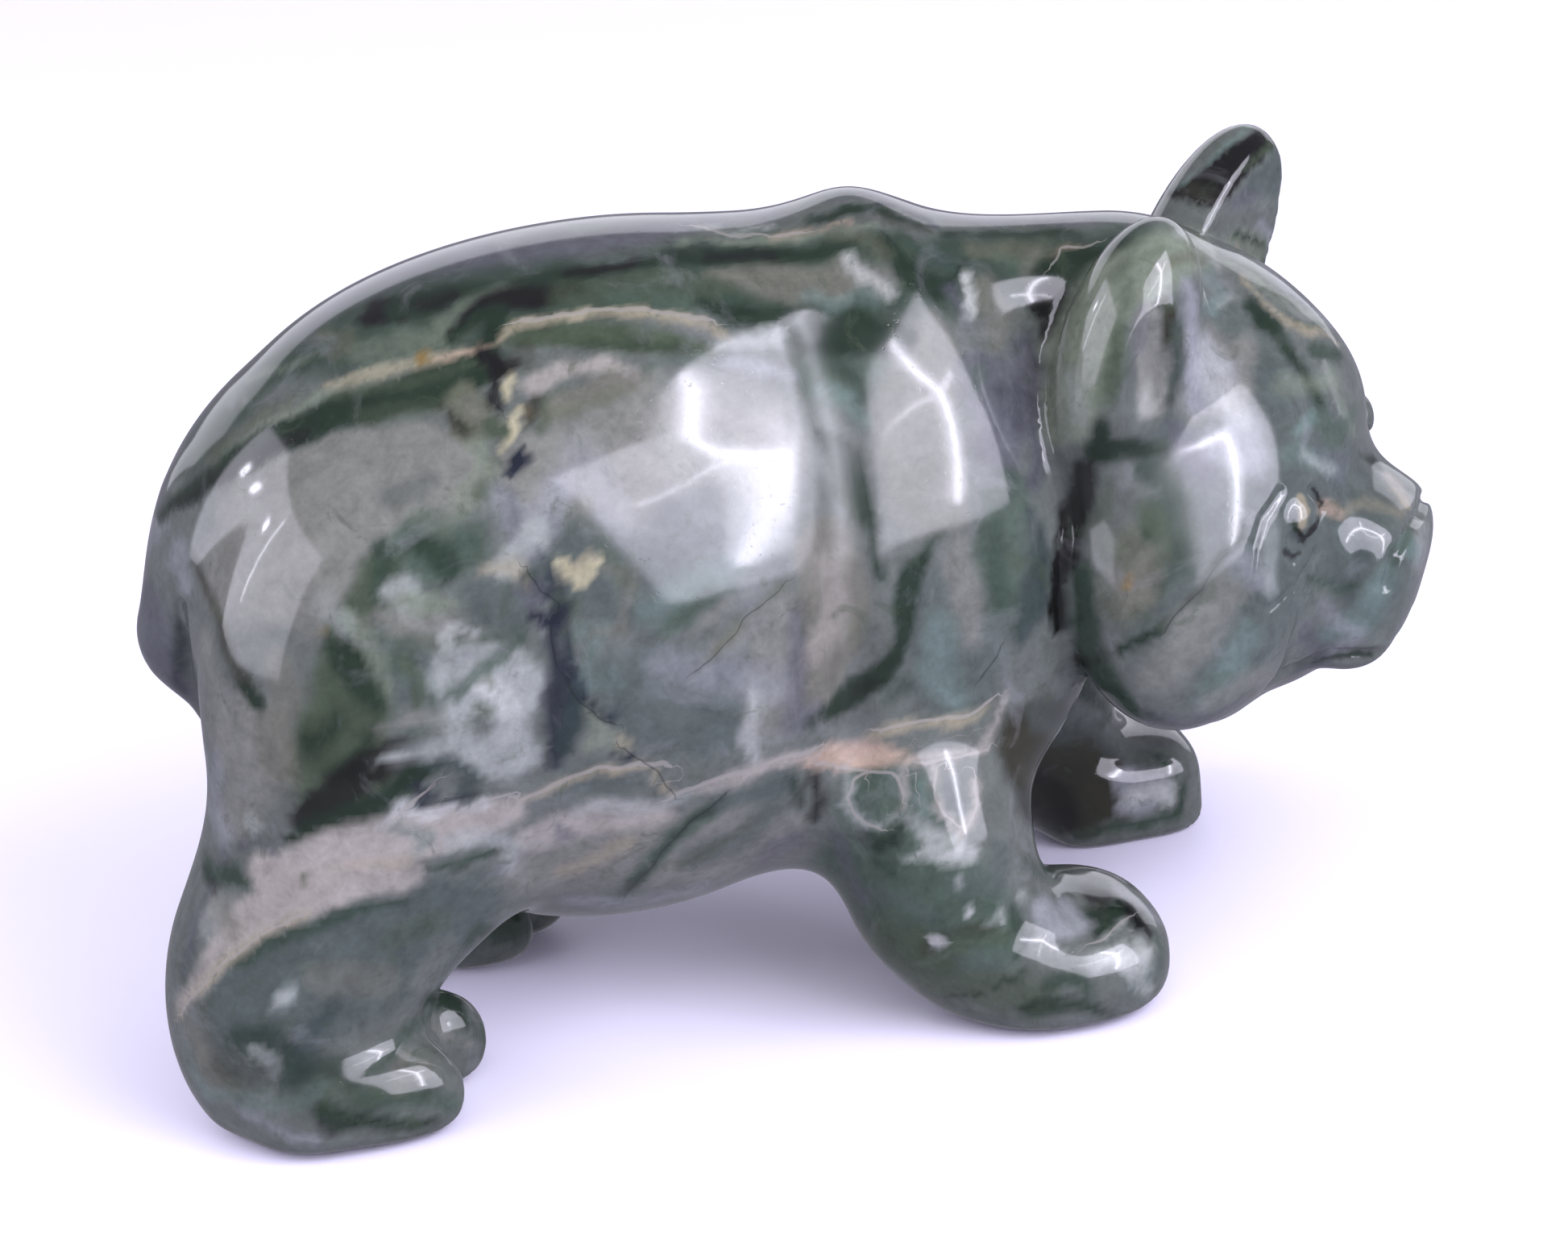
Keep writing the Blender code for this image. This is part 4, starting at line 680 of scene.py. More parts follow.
    ("olive", 0.7, 0.76, 0.25, ((31.8, 53.1, 0.38), (33.9, 54.0, 0.45), (36.9, 54.3, 0.38))),
    ("moss", 0.45, 1.02, 0.25, ((28.7, 52.8, 0.51), (30.0, 54.0, 0.51), (32.7, 55.0, 0.38))),
    ("pale", 0.55, 0.77, 0.19, ((34.2, 56.3, 0.38), (37.9, 55.7, 0.45), (38.5, 53.5, 0.38))),
    ("pale", 0.45, 0.90, 0.19, ((24.9, 45.5, 0.51), (25.0, 42.4, 0.51))),
    ("ash", 0.95, 0.89, 0.19, ((31.2, 49.4, 1.14), (31.1, 46.3, 1.40), (31.2, 43.1, 1.27))),
    ("violet grey", 0.45, 1.02, 0.19, ((30.6, 50.0, 0.57), (30.2, 47.6, 0.57))),
    ("umber", 1, 0.44, 0.19, ((31.7, 50.9, 0.25), (32.8, 50.4, 0.64), (32.7, 49.0, 0.44),
        (32.4, 47.6, 0.25))),
    ("moss", 0.6, 0.51, 0.19, ((32.2, 50.7, 0.32), (33.2, 50.5, 0.25))),
    ("teal", 0.7, 0.79, 0.26, ((37.4, 53.2, 0.59), (38.2, 51.4, 0.79), (36.9, 50.4, 0.59))),
    ("pale", 0.5, 0.52, 0.20, ((38.0, 50.8, 0.33), (39.2, 51.4, 0.33))),
    ("dark green", 1, 1.15, 0.26, ((26.8, 41.5, 0.89), (26.4, 39.7, 1.15), (29.0, 39.5, 1.02),
        (31.6, 38.9, 0.58))),
    ("black green", 0.9, 0.90, 0.19, ((25.4, 37.9, 0.90), (24.6, 34.8, 1.16), (23.7, 31.0, 0.90))),
    ("deep green", 0.9, 1.17, 0.26, ((24.8, 29.6, 0.91), (24.6, 26.3, 0.91), (25.1, 23.0, 0.91),
        (25.9, 21.0, 0.78), (27.8, 18.5, 0.52))),
    ("black green", 0.8, 0.66, 0.26, ((24.0, 23.0, 0.46), (25.1, 22.9, 0.46), (26.0, 23.1, 0.26))),
    ("olive", 0.7, 1.68, 0.32, ((28.4, 31.8, 1.55), (28.7, 27.9, 1.68), (27.4, 26.7, 1.16))),
    ("stone grey", 0.8, 1.55, 0.32, ((27.2, 28.0, 1.55), (29.5, 29.1, 1.55), (31.0, 31.6, 0.90))),
    ("deep green", 1, 0.90, 0.26, ((30.2, 37.5, 0.90), (32.0, 36.7, 1.16), (32.9, 35.0, 0.90),
        (31.2, 34.1, 1.16), (30.4, 32.9, 0.90))),
    ("moss", 0.7, 1.29, 0.32, ((29.9, 34.3, 0.90), (32.3, 32.1, 1.16), (30.8, 30.3, 0.90))),
    ("deep green", 0.8, 1.03, 0.26, ((32.8, 30.8, 0.77), (33.6, 30.7, 0.64), (33.2, 29.1, 0.45))),
    ("moss", 0.6, 0.90, 0.26, ((31.7, 33.1, 0.45), (33.1, 33.7, 0.45))),
    ("ochre", 0.9, 0.52, 0.19, ((28.1, 28.9, 0.32), (28.3, 29.2, 0.26))),
    ("ash", 0.9, 1.94, 0.32, ((35.6, 47.4, 1.94), (37.5, 44.1, 2.58), (34.6, 42.9, 1.55),
        (39.2, 46.7, 1.55))),
    ("lilac", 0.7, 1.68, 0.32, ((35.6, 46.7, 1.29), (36.9, 44.8, 1.55), (36.0, 42.9, 1.03))),
    ("lilac", 0.7, 1.68, 0.32, ((38.5, 40.7, 1.56), (39.4, 37.4, 1.30), (35.6, 39.0, 1.30))),
    ("slate", 0.9, 1.31, 0.26, ((41.4, 44.5, 1.18), (42.2, 43.1, 1.04), (40.7, 41.9, 0.78))),
    ("violet grey", 0.8, 1.55, 0.26, ((33.6, 39.1, 1.03), (35.4, 37.0, 0.90), (33.0, 40.4, 0.77))),
    ("dark green", 0.95, 0.65, 0.19, ((38.0, 32.9, 0.26), (36.8, 31.1, 0.52), (35.4, 29.6, 0.52),
        (33.9, 27.8, 0.39), (31.8, 26.0, 0.39), (29.8, 24.6, 0.45), (27.2, 23.4, 0.52))),
    ("ash", 0.7, 2.20, 0.32, ((33.0, 24.3, 2.20), (35.9, 27.3, 1.68), (30.3, 21.3, 1.68))),
    ("lilac", 0.5, 1.55, 0.32, ((37.4, 29.7, 0.90), (38.7, 28.3, 0.90))),
    ("teal", 0.6, 1.56, 0.33, ((36.3, 21.4, 1.30), (34.2, 19.6, 1.04), (37.8, 23.9, 0.91))),
    ("green", 0.4, 0.91, 0.33, ((34.2, 20.3, 0.78), (35.6, 20.8, 0.59))),
    ("violet grey", 0.5, 1.05, 0.20, ((29.0, 17.7, 0.46), (32.9, 17.0, 0.46), (39.2, 18.7, 0.39))),
    ("sage", 0.7, 1.06, 0.26, ((39.8, 54.2, 0.60), (42.4, 52.8, 0.79), (44.9, 50.5, 0.79),
        (46.8, 49.1, 0.60))),
    ("dark green", 0.85, 0.53, 0.20, ((39.9, 54.6, 0.20), (41.4, 53.3, 0.27), (43.8, 52.2, 0.20),
        (46.4, 50.2, 0.20))),
    ("lilac", 0.6, 0.94, 0.27, ((43.3, 54.0, 0.34), (45.6, 51.5, 0.47), (47.9, 49.2, 0.47))),
    ("dark green", 1, 0.79, 0.26, ((40.5, 50.3, 0.46), (41.3, 49.3, 0.79), (42.3, 48.5, 0.66))),
    ("deep green", 0.8, 0.53, 0.20, ((44.5, 48.8, 0.26), (46.7, 48.4, 0.33))),
    ("sand", 0.7, 0.59, 0.20, ((40.2, 52.8, 0.20), (42.2, 50.3, 0.26), (43.8, 48.9, 0.26),
        (45.8, 48.0, 0.26), (48.1, 47.3, 0.20))),
    ("dark green", 0.9, 0.79, 0.26, ((43.1, 46.8, 0.39), (44.3, 45.4, 0.66), (45.0, 43.7, 0.59),
        (45.7, 42.0, 0.46))),
    ("deep green", 0.8, 0.79, 0.26, ((45.6, 46.7, 0.59), (47.0, 46.0, 0.53), (47.8, 46.3, 0.53))),
    ("sage", 0.6, 0.79, 0.26, ((46.8, 44.6, 0.46), (47.6, 42.2, 0.53), (48.6, 39.6, 0.40))),
    ("pale", 0.5, 0.53, 0.20, ((46.2, 45.6, 0.20), (47.0, 43.6, 0.33), (47.7, 40.9, 0.20))),
    ("green", 0.7, 1.05, 0.26, ((45.6, 41.0, 0.79), (46.5, 39.3, 0.79), (49.8, 42.2, 0.39))),
    ("teal", 0.9, 0.65, 0.20, ((44.4, 40.7, 0.33), (43.5, 39.4, 0.46), (44.8, 41.0, 0.33))),
    ("teal", 0.5, 0.91, 0.26, ((42.3, 37.8, 0.91), (45.2, 37.4, 0.91), (46.7, 36.3, 0.59))),
    ("violet grey", 0.5, 0.79, 0.26, ((45.2, 38.0, 0.46), (47.2, 37.3, 0.52), (46.7, 35.7, 0.39))),
    ("dark green", 1, 0.54, 0.20, ((49.5, 37.9, 0.33), (50.7, 37.2, 0.54), (51.4, 36.5, 0.33))),
    ("sand", 0.8, 0.81, 0.20, ((51.7, 35.8, 0.47), (52.5, 34.3, 0.61), (52.7, 33.3, 0.40))),
    ("sand", 0.3, 0.79, 0.20, ((46.8, 33.0, 0.40), (48.7, 33.9, 0.53), (52.1, 32.6, 0.40))),
    ("sand", 0.8, 0.39, 0.13, ((42.8, 34.4, 0.26), (43.1, 33.5, 0.46), (42.8, 32.2, 0.39),
        (42.5, 31.6, 0.20))),
    ("peach", 0.6, 0.79, 0.20, ((45.0, 33.5, 0.59), (46.4, 33.0, 0.46))),
    ("black green", 0.95, 0.33, 0.13, ((44.1, 35.0, 0.13), (44.9, 33.7, 0.20), (44.2, 32.2, 0.20),
        (42.9, 30.9, 0.20), (42.2, 31.7, 0.20))),
    ("dark green", 0.85, 0.39, 0.19, ((42.0, 32.6, 0.19), (42.2, 31.7, 0.26))),
    ("black green", 0.8, 0.33, 0.13, ((41.3, 30.2, 0.26), (41.9, 29.8, 0.26), (42.5, 30.0, 0.20))),
    ("pale", 0.4, 0.91, 0.19, ((40.4, 32.8, 0.58), (39.6, 29.6, 0.78), (39.7, 27.3, 0.58))),
    ("slate", 0.95, 1.59, 0.33, ((46.9, 30.4, 1.59), (47.5, 29.0, 1.72), (46.1, 27.8, 1.19))),
    ("deep green", 0.75, 0.92, 0.33, ((43.5, 27.7, 0.46), (45.4, 26.6, 0.59), (47.4, 27.0, 0.39))),
    ("navy green", 0.5, 1.06, 0.26, ((48.4, 31.6, 0.66), (48.2, 29.6, 0.60))),
    ("teal", 0.7, 1.46, 0.33, ((50.2, 27.4, 1.20), (48.0, 24.3, 1.20), (45.3, 23.2, 0.93))),
    ("lilac", 0.55, 1.19, 0.27, ((44.7, 25.3, 0.60), (47.3, 23.0, 0.60), (44.9, 21.2, 0.46))),
    ("violet grey", 0.6, 1.20, 0.20, ((43.2, 23.4, 0.80), (44.9, 20.9, 0.60), (43.2, 20.0, 0.47))),
    ("teal", 0.8, 0.93, 0.20, ((52.1, 29.9, 0.93), (53.3, 29.2, 0.60))),
    ("green", 0.55, 0.66, 0.20, ((50.6, 30.0, 0.40), (50.9, 28.7, 0.46), (53.1, 31.9, 0.26))),
    ("dark green", 0.8, 0.40, 0.13, ((43.9, 20.9, 0.13), (46.2, 21.4, 0.27), (49.0, 21.6, 0.27))),
    ("black green", 1, 0.55, 0.14, ((37.4, 62.1, 0.97), (39.5, 63.6, 1.66), (42.4, 65.1, 1.38),
        (44.3, 65.8, 0.69), (39.1, 61.0, 0.97))),
    ("moss", 0.8, 0.83, 0.28, ((42.9, 65.8, 0.48), (43.8, 65.1, 0.55), (42.2, 63.6, 0.42))),
    ("umber", 0.7, 0.97, 0.28, ((38.4, 63.0, 0.62), (39.2, 61.4, 0.69), (38.5, 61.9, 0.55))),
    ("slate", 0.95, 0.69, 0.14, ((44.4, 62.3, 1.67), (43.1, 59.6, 1.81), (45.6, 64.3, 0.83),
        (44.2, 57.6, 0.97))),
    ("violet grey", 0.5, 1.10, 0.21, ((41.1, 59.5, 0.83), (42.6, 57.6, 0.62))),
    ("teal", 0.7, 0.35, 0.14, ((36.6, 62.3, 0.21), (38.5, 64.8, 0.28), (40.7, 66.5, 0.28),
        (43.8, 67.1, 0.35), (45.8, 66.9, 0.28))),
    # Touches over the rest.
    ("lilac", 0.22, 3.72, 0.74, ((-10.8, 36.2, 1.36), (-5.3, 35.8, 2.23), (-2.0, 30.5, 1.98))),
    ("teal", 0.5, 1.61, 0.75, ((-10.1, 30.0, 0.87), (-6.9, 31.6, 1.37), (-3.7, 33.2, 0.99))),
    ("navy", 0.7, 0.56, 0.49, ((-17.8, 35.0, 0.31), (-16.8, 31.8, 0.56), (-16.5, 28.0, 0.74),
        (-16.1, 24.9, 0.56), (-14.9, 22.9, 0.25))),
    ("moss", 0.55, 0.87, 0.62, ((-13.6, 36.5, 0.37), (-12.2, 34.5, 0.56), (-11.5, 31.9, 0.43))),
    ("lilac", 0.8, 1.02, 0.26, ((34.7, 51.7, 0.64), (34.7, 47.3, 0.96), (34.7, 42.9, 1.02))),
    ("white", 0.45, 1.68, 0.32, ((36.0, 46.7, 1.03), (36.8, 44.1, 1.29), (38.5, 41.4, 1.03))),
    ("sage", 0.5, 1.31, 0.33, ((43.0, 43.8, 0.98), (46.7, 43.9, 0.78))),
    ("pale", 0.5, 0.78, 0.26, ((43.8, 37.6, 0.46), (45.9, 36.7, 0.52))),
    ("lilac", 0.45, 0.81, 0.27, ((51.2, 36.0, 0.47), (53.2, 34.1, 0.47))),
    ("ash", 0.65, 1.30, 0.26, ((34.2, 18.9, 0.72), (37.0, 19.7, 0.85), (39.3, 20.8, 0.59))),
    ("pale", 0.6, 0.78, 0.32, ((8.6, 11.6, 0.39), (10.1, 10.4, 0.58), (11.2, 8.2, 0.71))),
    ("pale", 0.6, 0.79, 0.33, ((24.7, -1.7, 0.46), (26.6, -3.2, 0.79), (27.2, -4.7, 0.52))),
    # Painted highlight: white over the flat top of the far fore paw.
    ("white", 0.55, 0.72, 0.43, ((29.6, 10.5, 0.50), (32.3, 12.0, 1.07), (34.5, 11.8, 0.93),
        (34.8, 10.0, 0.64))),
    ("cream", 0.7, 0.43, 0.49, ((-16.6, 33.9, 0.49), (-15.1, 32.6, 0.62), (-13.4, 34.0, 0.37))),
    ("ash", 0.6, 1.49, 0.25, ((-13.0, 43.6, 0.62), (-10.0, 46.2, 0.87), (-7.4, 48.0, 0.62))),
    ("lilac", 0.5, 2.50, 0.37, ((-8.7, 25.5, 1.50), (-4.4, 24.4, 1.62), (-0.8, 23.5, 1.25))),
    ("rose grey", 0.6, 0.76, 0.32, ((-3.6, 16.3, 0.45), (-1.0, 16.7, 0.51), (1.3, 17.4, 0.38))),
    ("pale", 0.4, 1.23, 0.31, ((-34.6, 32.7, 0.74), (-33.1, 31.0, 0.74))),
    ("sage", 0.35, 1.23, 0.31, ((-26.6, 38.8, 0.99), (-25.2, 37.8, 0.99))),
    # Painted shade: dark green laid over the lower right hind leg and foot to darken them.
    ("dark green", 0.45, 2.55, 0.51, ((-45.4, -3.4, 2.30), (-38.0, -6.6, 1.92), (-31.7, -6.1, 1.53))),
    ("deep green", 0.75, 1.16, 0.32, ((30.5, 37.4, 0.77), (32.3, 35.9, 1.09), (33.0, 33.3, 1.09),
        (32.5, 30.2, 0.84), (30.7, 28.4, 0.58))),
    ("moss", 0.55, 1.16, 0.32, ((27.0, 37.1, 0.64), (26.4, 32.0, 0.77), (26.7, 27.4, 0.77))),
    ("moss", 0.55, 1.02, 0.25, ((29.9, 52.7, 0.45), (28.7, 48.3, 0.57), (28.0, 44.5, 0.57))),
    ("dark green", 0.6, 0.76, 0.25, ((33.3, 49.2, 0.38), (33.3, 46.1, 0.51), (32.5, 43.0, 0.51))),
    ("dark green", 0.7, 0.79, 0.26, ((40.9, 50.7, 0.39), (42.6, 48.2, 0.59), (43.7, 45.7, 0.53))),
    ("pale", 0.4, 0.94, 0.27, ((54.1, 31.5, 0.54), (53.5, 28.2, 0.67))),
    ("dark green", 0.6, 1.14, 0.38, ((3.1, 49.9, 0.51), (5.9, 48.4, 0.89), (8.1, 45.0, 0.76))),
    ("rose grey", 0.5, 1.52, 0.38, ((4.5, 32.5, 1.01), (4.8, 28.7, 1.14), (2.6, 25.1, 0.88))),
)

# Thin pale seams: half width, and a path, in mm.
PALE_SEAMS = (
    (0.19, ((-18.3, 53.1), (-15.2, 53.6), (-10.8, 53.5), (-6.4, 52.9), (-3.3, 52.0))),
    (0.19, ((-21.6, 15.8), (-17.7, 17.3), (-15.1, 18.0), (-11.9, 18.3), (-9.5, 17.8))),
    (0.22, ((-9.8, 15.2), (-6.5, 16.0), (-2.6, 16.7), (0.6, 17.4), (2.0, 18.0))),
    (0.16, ((7.2, 18.8), (10.5, 19.1), (13.8, 19.3), (16.6, 20.4))),
    (0.16, ((1.9, 16.7), (5.1, 16.0), (8.2, 15.3), (8.7, 13.5))),
    (0.16, ((10.2, 16.0), (13.5, 16.0), (15.6, 16.7))),
    (0.14, ((-50.0, 1.2), (-47.0, 4.4), (-42.8, 7.0), (-38.7, 8.6))),
    (0.14, ((4.7, 15.2), (3.9, 13.5), (4.6, 11.8), (6.6, 11.0))),
    (0.14, ((11.5, 15.2), (11.2, 13.2), (11.9, 11.1), (13.6, 10.1), (14.8, 12.2), (14.7, 14.2))),
    (0.11, ((-31.6, 14.9), (-29.9, 16.5), (-28.8, 17.2), (-27.5, 18.0))),
    (0.11, ((-29.2, 14.7), (-26.6, 15.2), (-24.1, 16.1), (-21.5, 16.8))),
    (0.10, ((22.8, -0.5), (24.1, 0.0), (25.4, 1.1), (26.5, 1.5))),
    (0.12, ((24.3, 55.2), (25.8, 56.8), (28.5, 57.1))),
    (0.12, ((-3.4, 60.4), (-1.2, 59.5), (1.7, 58.7), (4.3, 59.1))),
)

# Thin dark seams: half width, and a path, in mm.
DARK_SEAMS = (
    (0.10, ((-20.9, 51.0), (-20.3, 49.0), (-20.5, 47.1), (-20.2, 46.1))),
    (0.11, ((-18.8, 33.5), (-18.1, 31.6), (-16.9, 30.6), (-17.7, 28.8), (-17.3, 26.2), (-16.1, 23.3),
        (-13.5, 21.5))),
    (0.10, ((-12.7, 19.5), (-11.3, 18.2), (-10.2, 17.0), (-9.4, 15.6))),
    (0.10, ((-14.3, 7.3), (-11.3, 10.4), (-7.4, 13.6), (-5.4, 14.9))),
    (0.07, ((-6.9, 25.0), (-4.2, 27.1), (-1.5, 29.4), (1.2, 31.4))),
    (0.08, ((11.0, 57.9), (12.4, 55.8), (13.9, 54.4))),
    (0.10, ((38.4, 33.2), (36.1, 30.2), (33.2, 27.2), (30.5, 24.8))),
    (0.08, ((17.5, 24.7), (16.4, 23.1), (15.5, 21.9))),
    (0.09, ((-29.4, 16.6), (-28.2, 17.5), (-27.2, 18.3))),
)

# The palette, by the names that the markings use.
COLOUR_NAMES = (
    "ground", "ash", "stone grey", "slate", "lilac", "violet grey", "pale", "white", "rose grey",
    "rose", "peach", "sand", "cream", "ochre", "olive", "sage", "moss", "green", "teal", "deep green",
    "dark green", "black green", "navy green", "navy", "umber",
)

# The floor's half width, roughness and shine.
FLOOR_HALF = 3.0
FLOOR_ROUGHNESS = 0.5
FLOOR_SHINE = 0.2

# Lights: turn from straight ahead of the right side, lift and distance, then width and height.
STUDIO_MIDDLE = (0.0, 0.0, 0.04)
WINDOW = ((38.0, 27.0, 0.60), (0.54, 0.56))
SIDE_WINDOW = ((-88.0, 24.0, 0.55), (0.72, 0.44))
SIDE_RIB = ((-103.0, 27.0, 0.54), (0.014, 0.26))
SIDE_LAMP = ((-115.0, 31.0, 0.53), (0.022, 0.030))
WALL_BEHIND = ((168.0, 15.0, 1.30), (2.6, 0.66))
LIGHT_ABOVE = ((20.0, 70.0, 1.6), (2.0, 2.0))
LIGHT_ABOVE_MIDDLE = (0.0, 0.3, 0.0)
WALL_IN_FRONT = ((-12.0, 38.0, 1.60), (2.2, 1.0))
# Powers of the side rib and lamp for each watt per square metre of the window's ribs.
SIDE_RIB_SHARE = 0.0020
SIDE_LAMP_SHARE = 0.0009
WINDOW_TINT = (0.88, 0.86, 1.0)
WALL_TINT = (0.90, 0.90, 1.0)
# Where the window's ribs cross, before its middle, and how far the ribs stand before that.
CROSSING = (0.07, 0.11, -0.004)
RIB_STANDS = -0.002
# The window's ribs: turn from upright, length, width and share of brightness.
RIBS = (
    (20.0, 0.17, 0.020, 1.0), (160.0, 0.34, 0.022, 1.0), (98.0, 0.26, 0.009, 0.6),
    (-74.0, 0.11, 0.012, 0.8), (20.0, 0.16, 0.060, 0.20), (160.0, 0.32, 0.070, 0.22),
)
# The window brightens towards the ribs' crossing: width, height and share.
GLOWS = ((0.38, 0.33, 0.70), (0.29, 0.27, 0.70), (0.20, 0.20, 0.80), (0.11, 0.12, 0.90))

# The camera: lens and sensor in mm, spot in metres, and turn, lift and roll in degrees.
CAMERA_LENS = 101.75
CAMERA_SENSOR = 36.0
CAMERA_SPOT = (-0.07121, -0.33664, 0.16885)
CAMERA_TURN = -12.0
CAMERA_LIFT = 22.0
CAMERA_ROLL = 5.0


def turn(yaw, nod, roll=0.0):
    """The frame turned by yaw about Z, by nod with the nose up and by roll, as rows of axes."""
    return np.array(Euler((math.radians(roll), -math.radians(nod), math.radians(yaw)), "XYZ").to_matrix())


def lump(points, centre, radii, tilt=0.0, power=2.0, lean=0.0, yaw=0.0):
    """About how far each point is from an ellipsoid, or from a squarer one."""
    local = np.abs((points - np.array(centre)) @ turn(yaw, tilt, lean))
    share = local / np.array(radii)
    size = (share ** power).sum(1) ** (1.0 / power) + TINY
    if power == 2.0:
        return size * (size - 1.0) / (np.sqrt(((share / np.array(radii)) ** 2).sum(1)) + TINY)
    slope = (share ** (power - 1.0)) / np.array(radii) / size[:, None] ** (power - 1.0)
    return (size - 1.0) / (np.sqrt((slope ** 2).sum(1)) + TINY)


def limb(points, start, end, radii):
    """How far each point is from a tapered round bar."""
    start = np.array(start)
    run = np.array(end) - start
    along = np.clip((points - start) @ run / (run @ run), 0.0, 1.0)
    radius = radii[0] + (radii[1] - radii[0]) * along
    return np.linalg.norm(points - start - along[:, None] * run, axis=1) - radius


def flow(first, second, softness):
    """Two forms as one, with a fillet of this softness between them."""
    if softness <= 0.0:
        return np.minimum(first, second)
    near = np.maximum(softness - np.abs(first - second), 0.0) / softness
    return np.minimum(first, second) - near * near * softness * 0.25


def take(form, tool, softness):
    """The form with the tool's shape cut out of it."""
    return -flow(-form, tool, softness)


def gather(points, masses):
    """The masses of one table flowed together in order."""
    form = None
    for centre, radii, tilt, power, softness in masses.values():
        one = lump(points, centre, radii, tilt, power)
        form = one if form is None else flow(form, one, softness)
    return form


def line(points, path, reach, depth):
    """How deep a rounded line along a path is at each point."""
    nearest = np.full(len(points), BEYOND)
    for start, end in zip(path[:-1], path[1:]):
        start = np.array(start)
        run = np.array(end) - start
        along = np.clip((points - start) @ run / (run @ run), 0.0, 1.0)
        nearest = np.minimum(nearest, ((points - start - along[:, None] * run) ** 2).sum(1))
    return depth * np.exp(-nearest / reach ** 2)


def across(path):
    """The path mirrored to the other side."""
    return tuple((x, -y, z) for x, y, z in path)


def hind_leg(points, masses, side):
    """Thigh, hock and a foot with toes; side is -1 on the right and 1 on the left."""
    form = flow(lump(points, *masses["thigh"][:4]), lump(points, *masses["hock"][:4]), masses["hock"][4])
    foot = lump(points, *masses["foot"][:4])
    centre = masses["foot"][0]
    for (ahead, outward, up), radii in TOES:
        place = (centre[0] + ahead, centre[1] + side * outward, centre[2] + up)
        foot = flow(foot, lump(points, place, radii, 0.0, TOE_SQUARENESS), TOE_FLOW)
    return flow(form, foot, masses["foot"][4])


def head(points):
    """Skull, cheeks, muzzle and ears, with the ears' hollows cut, in the head's own frame."""
    form = gather(points, HEAD)
    centre, radii, yaw, nod, softness = FACE_SIDE
    form = flow(form, lump(points, centre, radii, nod, yaw=yaw), softness)
    form = flow(form, lump(points, across((centre,))[0], radii, nod, yaw=-yaw), softness)
    form = flow(form, gather(points, MUZZLE), MUZZLE_FLOW)
    form = flow(form, lump(points, *NOSE[:4]), NOSE[4])
    centre, radii, lean, softness = RIGHT_EAR
    form = flow(form, lump(points, centre, radii, lean=-lean), softness)
    centre, radii, lean, softness = RIGHT_HOLLOW
    form = take(form, lump(points, centre, radii, HOLLOW_NOD, lean=-lean), softness)
    centre, radii, lean, softness = LEFT_EAR
    ear = lump(points, centre, radii, lean=-lean)
    faces, reach, edge = LEFT_CUT
    ear = take(ear, reach - (points - np.array(centre)) @ np.array(faces), edge)
    return flow(form, ear, softness)


def face_frame(points):
    """The points in the head's own frame."""
    return (points - np.array(HEAD_CENTRE)) @ turn(HEAD_TURN, HEAD_NOD)


def carving(points):
    """The whole carving: negative inside the stone, in design units."""
    form = gather(points, TRUNK)
    for masses, side in ((HIND_RIGHT, -1), (HIND_LEFT, 1)):
        form = flow(form, hind_leg(points, masses, side), LEG_FLOW["hind"])
    for masses in (FORE_RIGHT, FORE_LEFT):
        form = flow(form, gather(points, masses), LEG_FLOW["fore"])
    form = form + line(points, *NECK_CREASE) + line(points, *FLANK_VALLEY)
    form = flow(form, limb(points, TAIL_ROOT, TAIL_END, TAIL_RADII), TAIL_FLOW)
    face = face_frame(points)
    form = flow(form, head(face), HEAD_FLOW)
    for mirrored in (False, True):
        eye = across((EYE,))[0] if mirrored else EYE
        away = np.linalg.norm(face - np.array(eye), axis=1)
        form = form - EYE_SIZE[1] * np.exp(-(away / EYE_SIZE[0]) ** 4)
        for path, reach, depth in FACE_LINES.values():
            form = form + line(face, across(path) if mirrored else path, reach, depth)
        slot = TAIL_SLOT if mirrored else across(TAIL_SLOT)
        form = form + line(points, slot, *TAIL_SLOT_CUT)
    unit = FIGURE_LENGTH / UNITS_LONG
    return take(form, points[:, 2], SOLE_EDGE / unit)


def facing(turned, lift):
    """The way to a place at this turn from straight ahead of the right side, and this lift, in degrees."""
    turned = math.radians(turned)
    lift = math.radians(lift)
    return Vector((math.sin(turned) * math.cos(lift), -math.cos(turned) * math.cos(lift), math.sin(lift)))


def marking_plane(points):
    """Where each point lies across the stone's markings, in millimetres."""
    turned = math.radians(MARKING_TURN)
    dip = math.radians(MARKING_DIP)
    across_way = np.array((math.cos(turned), math.sin(turned), 0.0))
    through = np.array((math.sin(turned) * math.cos(dip), -math.cos(turned) * math.cos(dip), math.sin(dip)))
    return points @ np.array((across_way, np.cross(through, across_way))).T * MM


def wander(points, scale, seed, octaves):
    """Smooth uneven numbers about zero over the points, for wavering edges."""
    shift = Vector([seed * step for step in WANDER_SHIFT])
    return np.array([noise.fractal(Vector(point) * scale + shift, *WANDER_FALL, octaves) for point in points])


def fade(value):
    """0 to 1 with soft ends."""
    value = np.clip(value, 0.0, 1.0)
    return value * value * (3.0 - 2.0 * value)


def brush(plane, path):
    """How far inside a brushed path each point is: the path's half width there less the distance to it."""
    best = np.full(len(plane), -BEYOND)
    steps = list(zip(path[:-1], path[1:])) or [(path[0], path[0])]
    for start, end in steps:
        place = np.array(start[:2])
        run = np.array(end[:2]) - place
        along = np.clip((plane - place) @ run / (run @ run + TINY), 0.0, 1.0)
        away = np.linalg.norm(plane - place - along[:, None] * run, axis=1)
        best = np.maximum(best, start[2] + (end[2] - start[2]) * along - away)
    return best


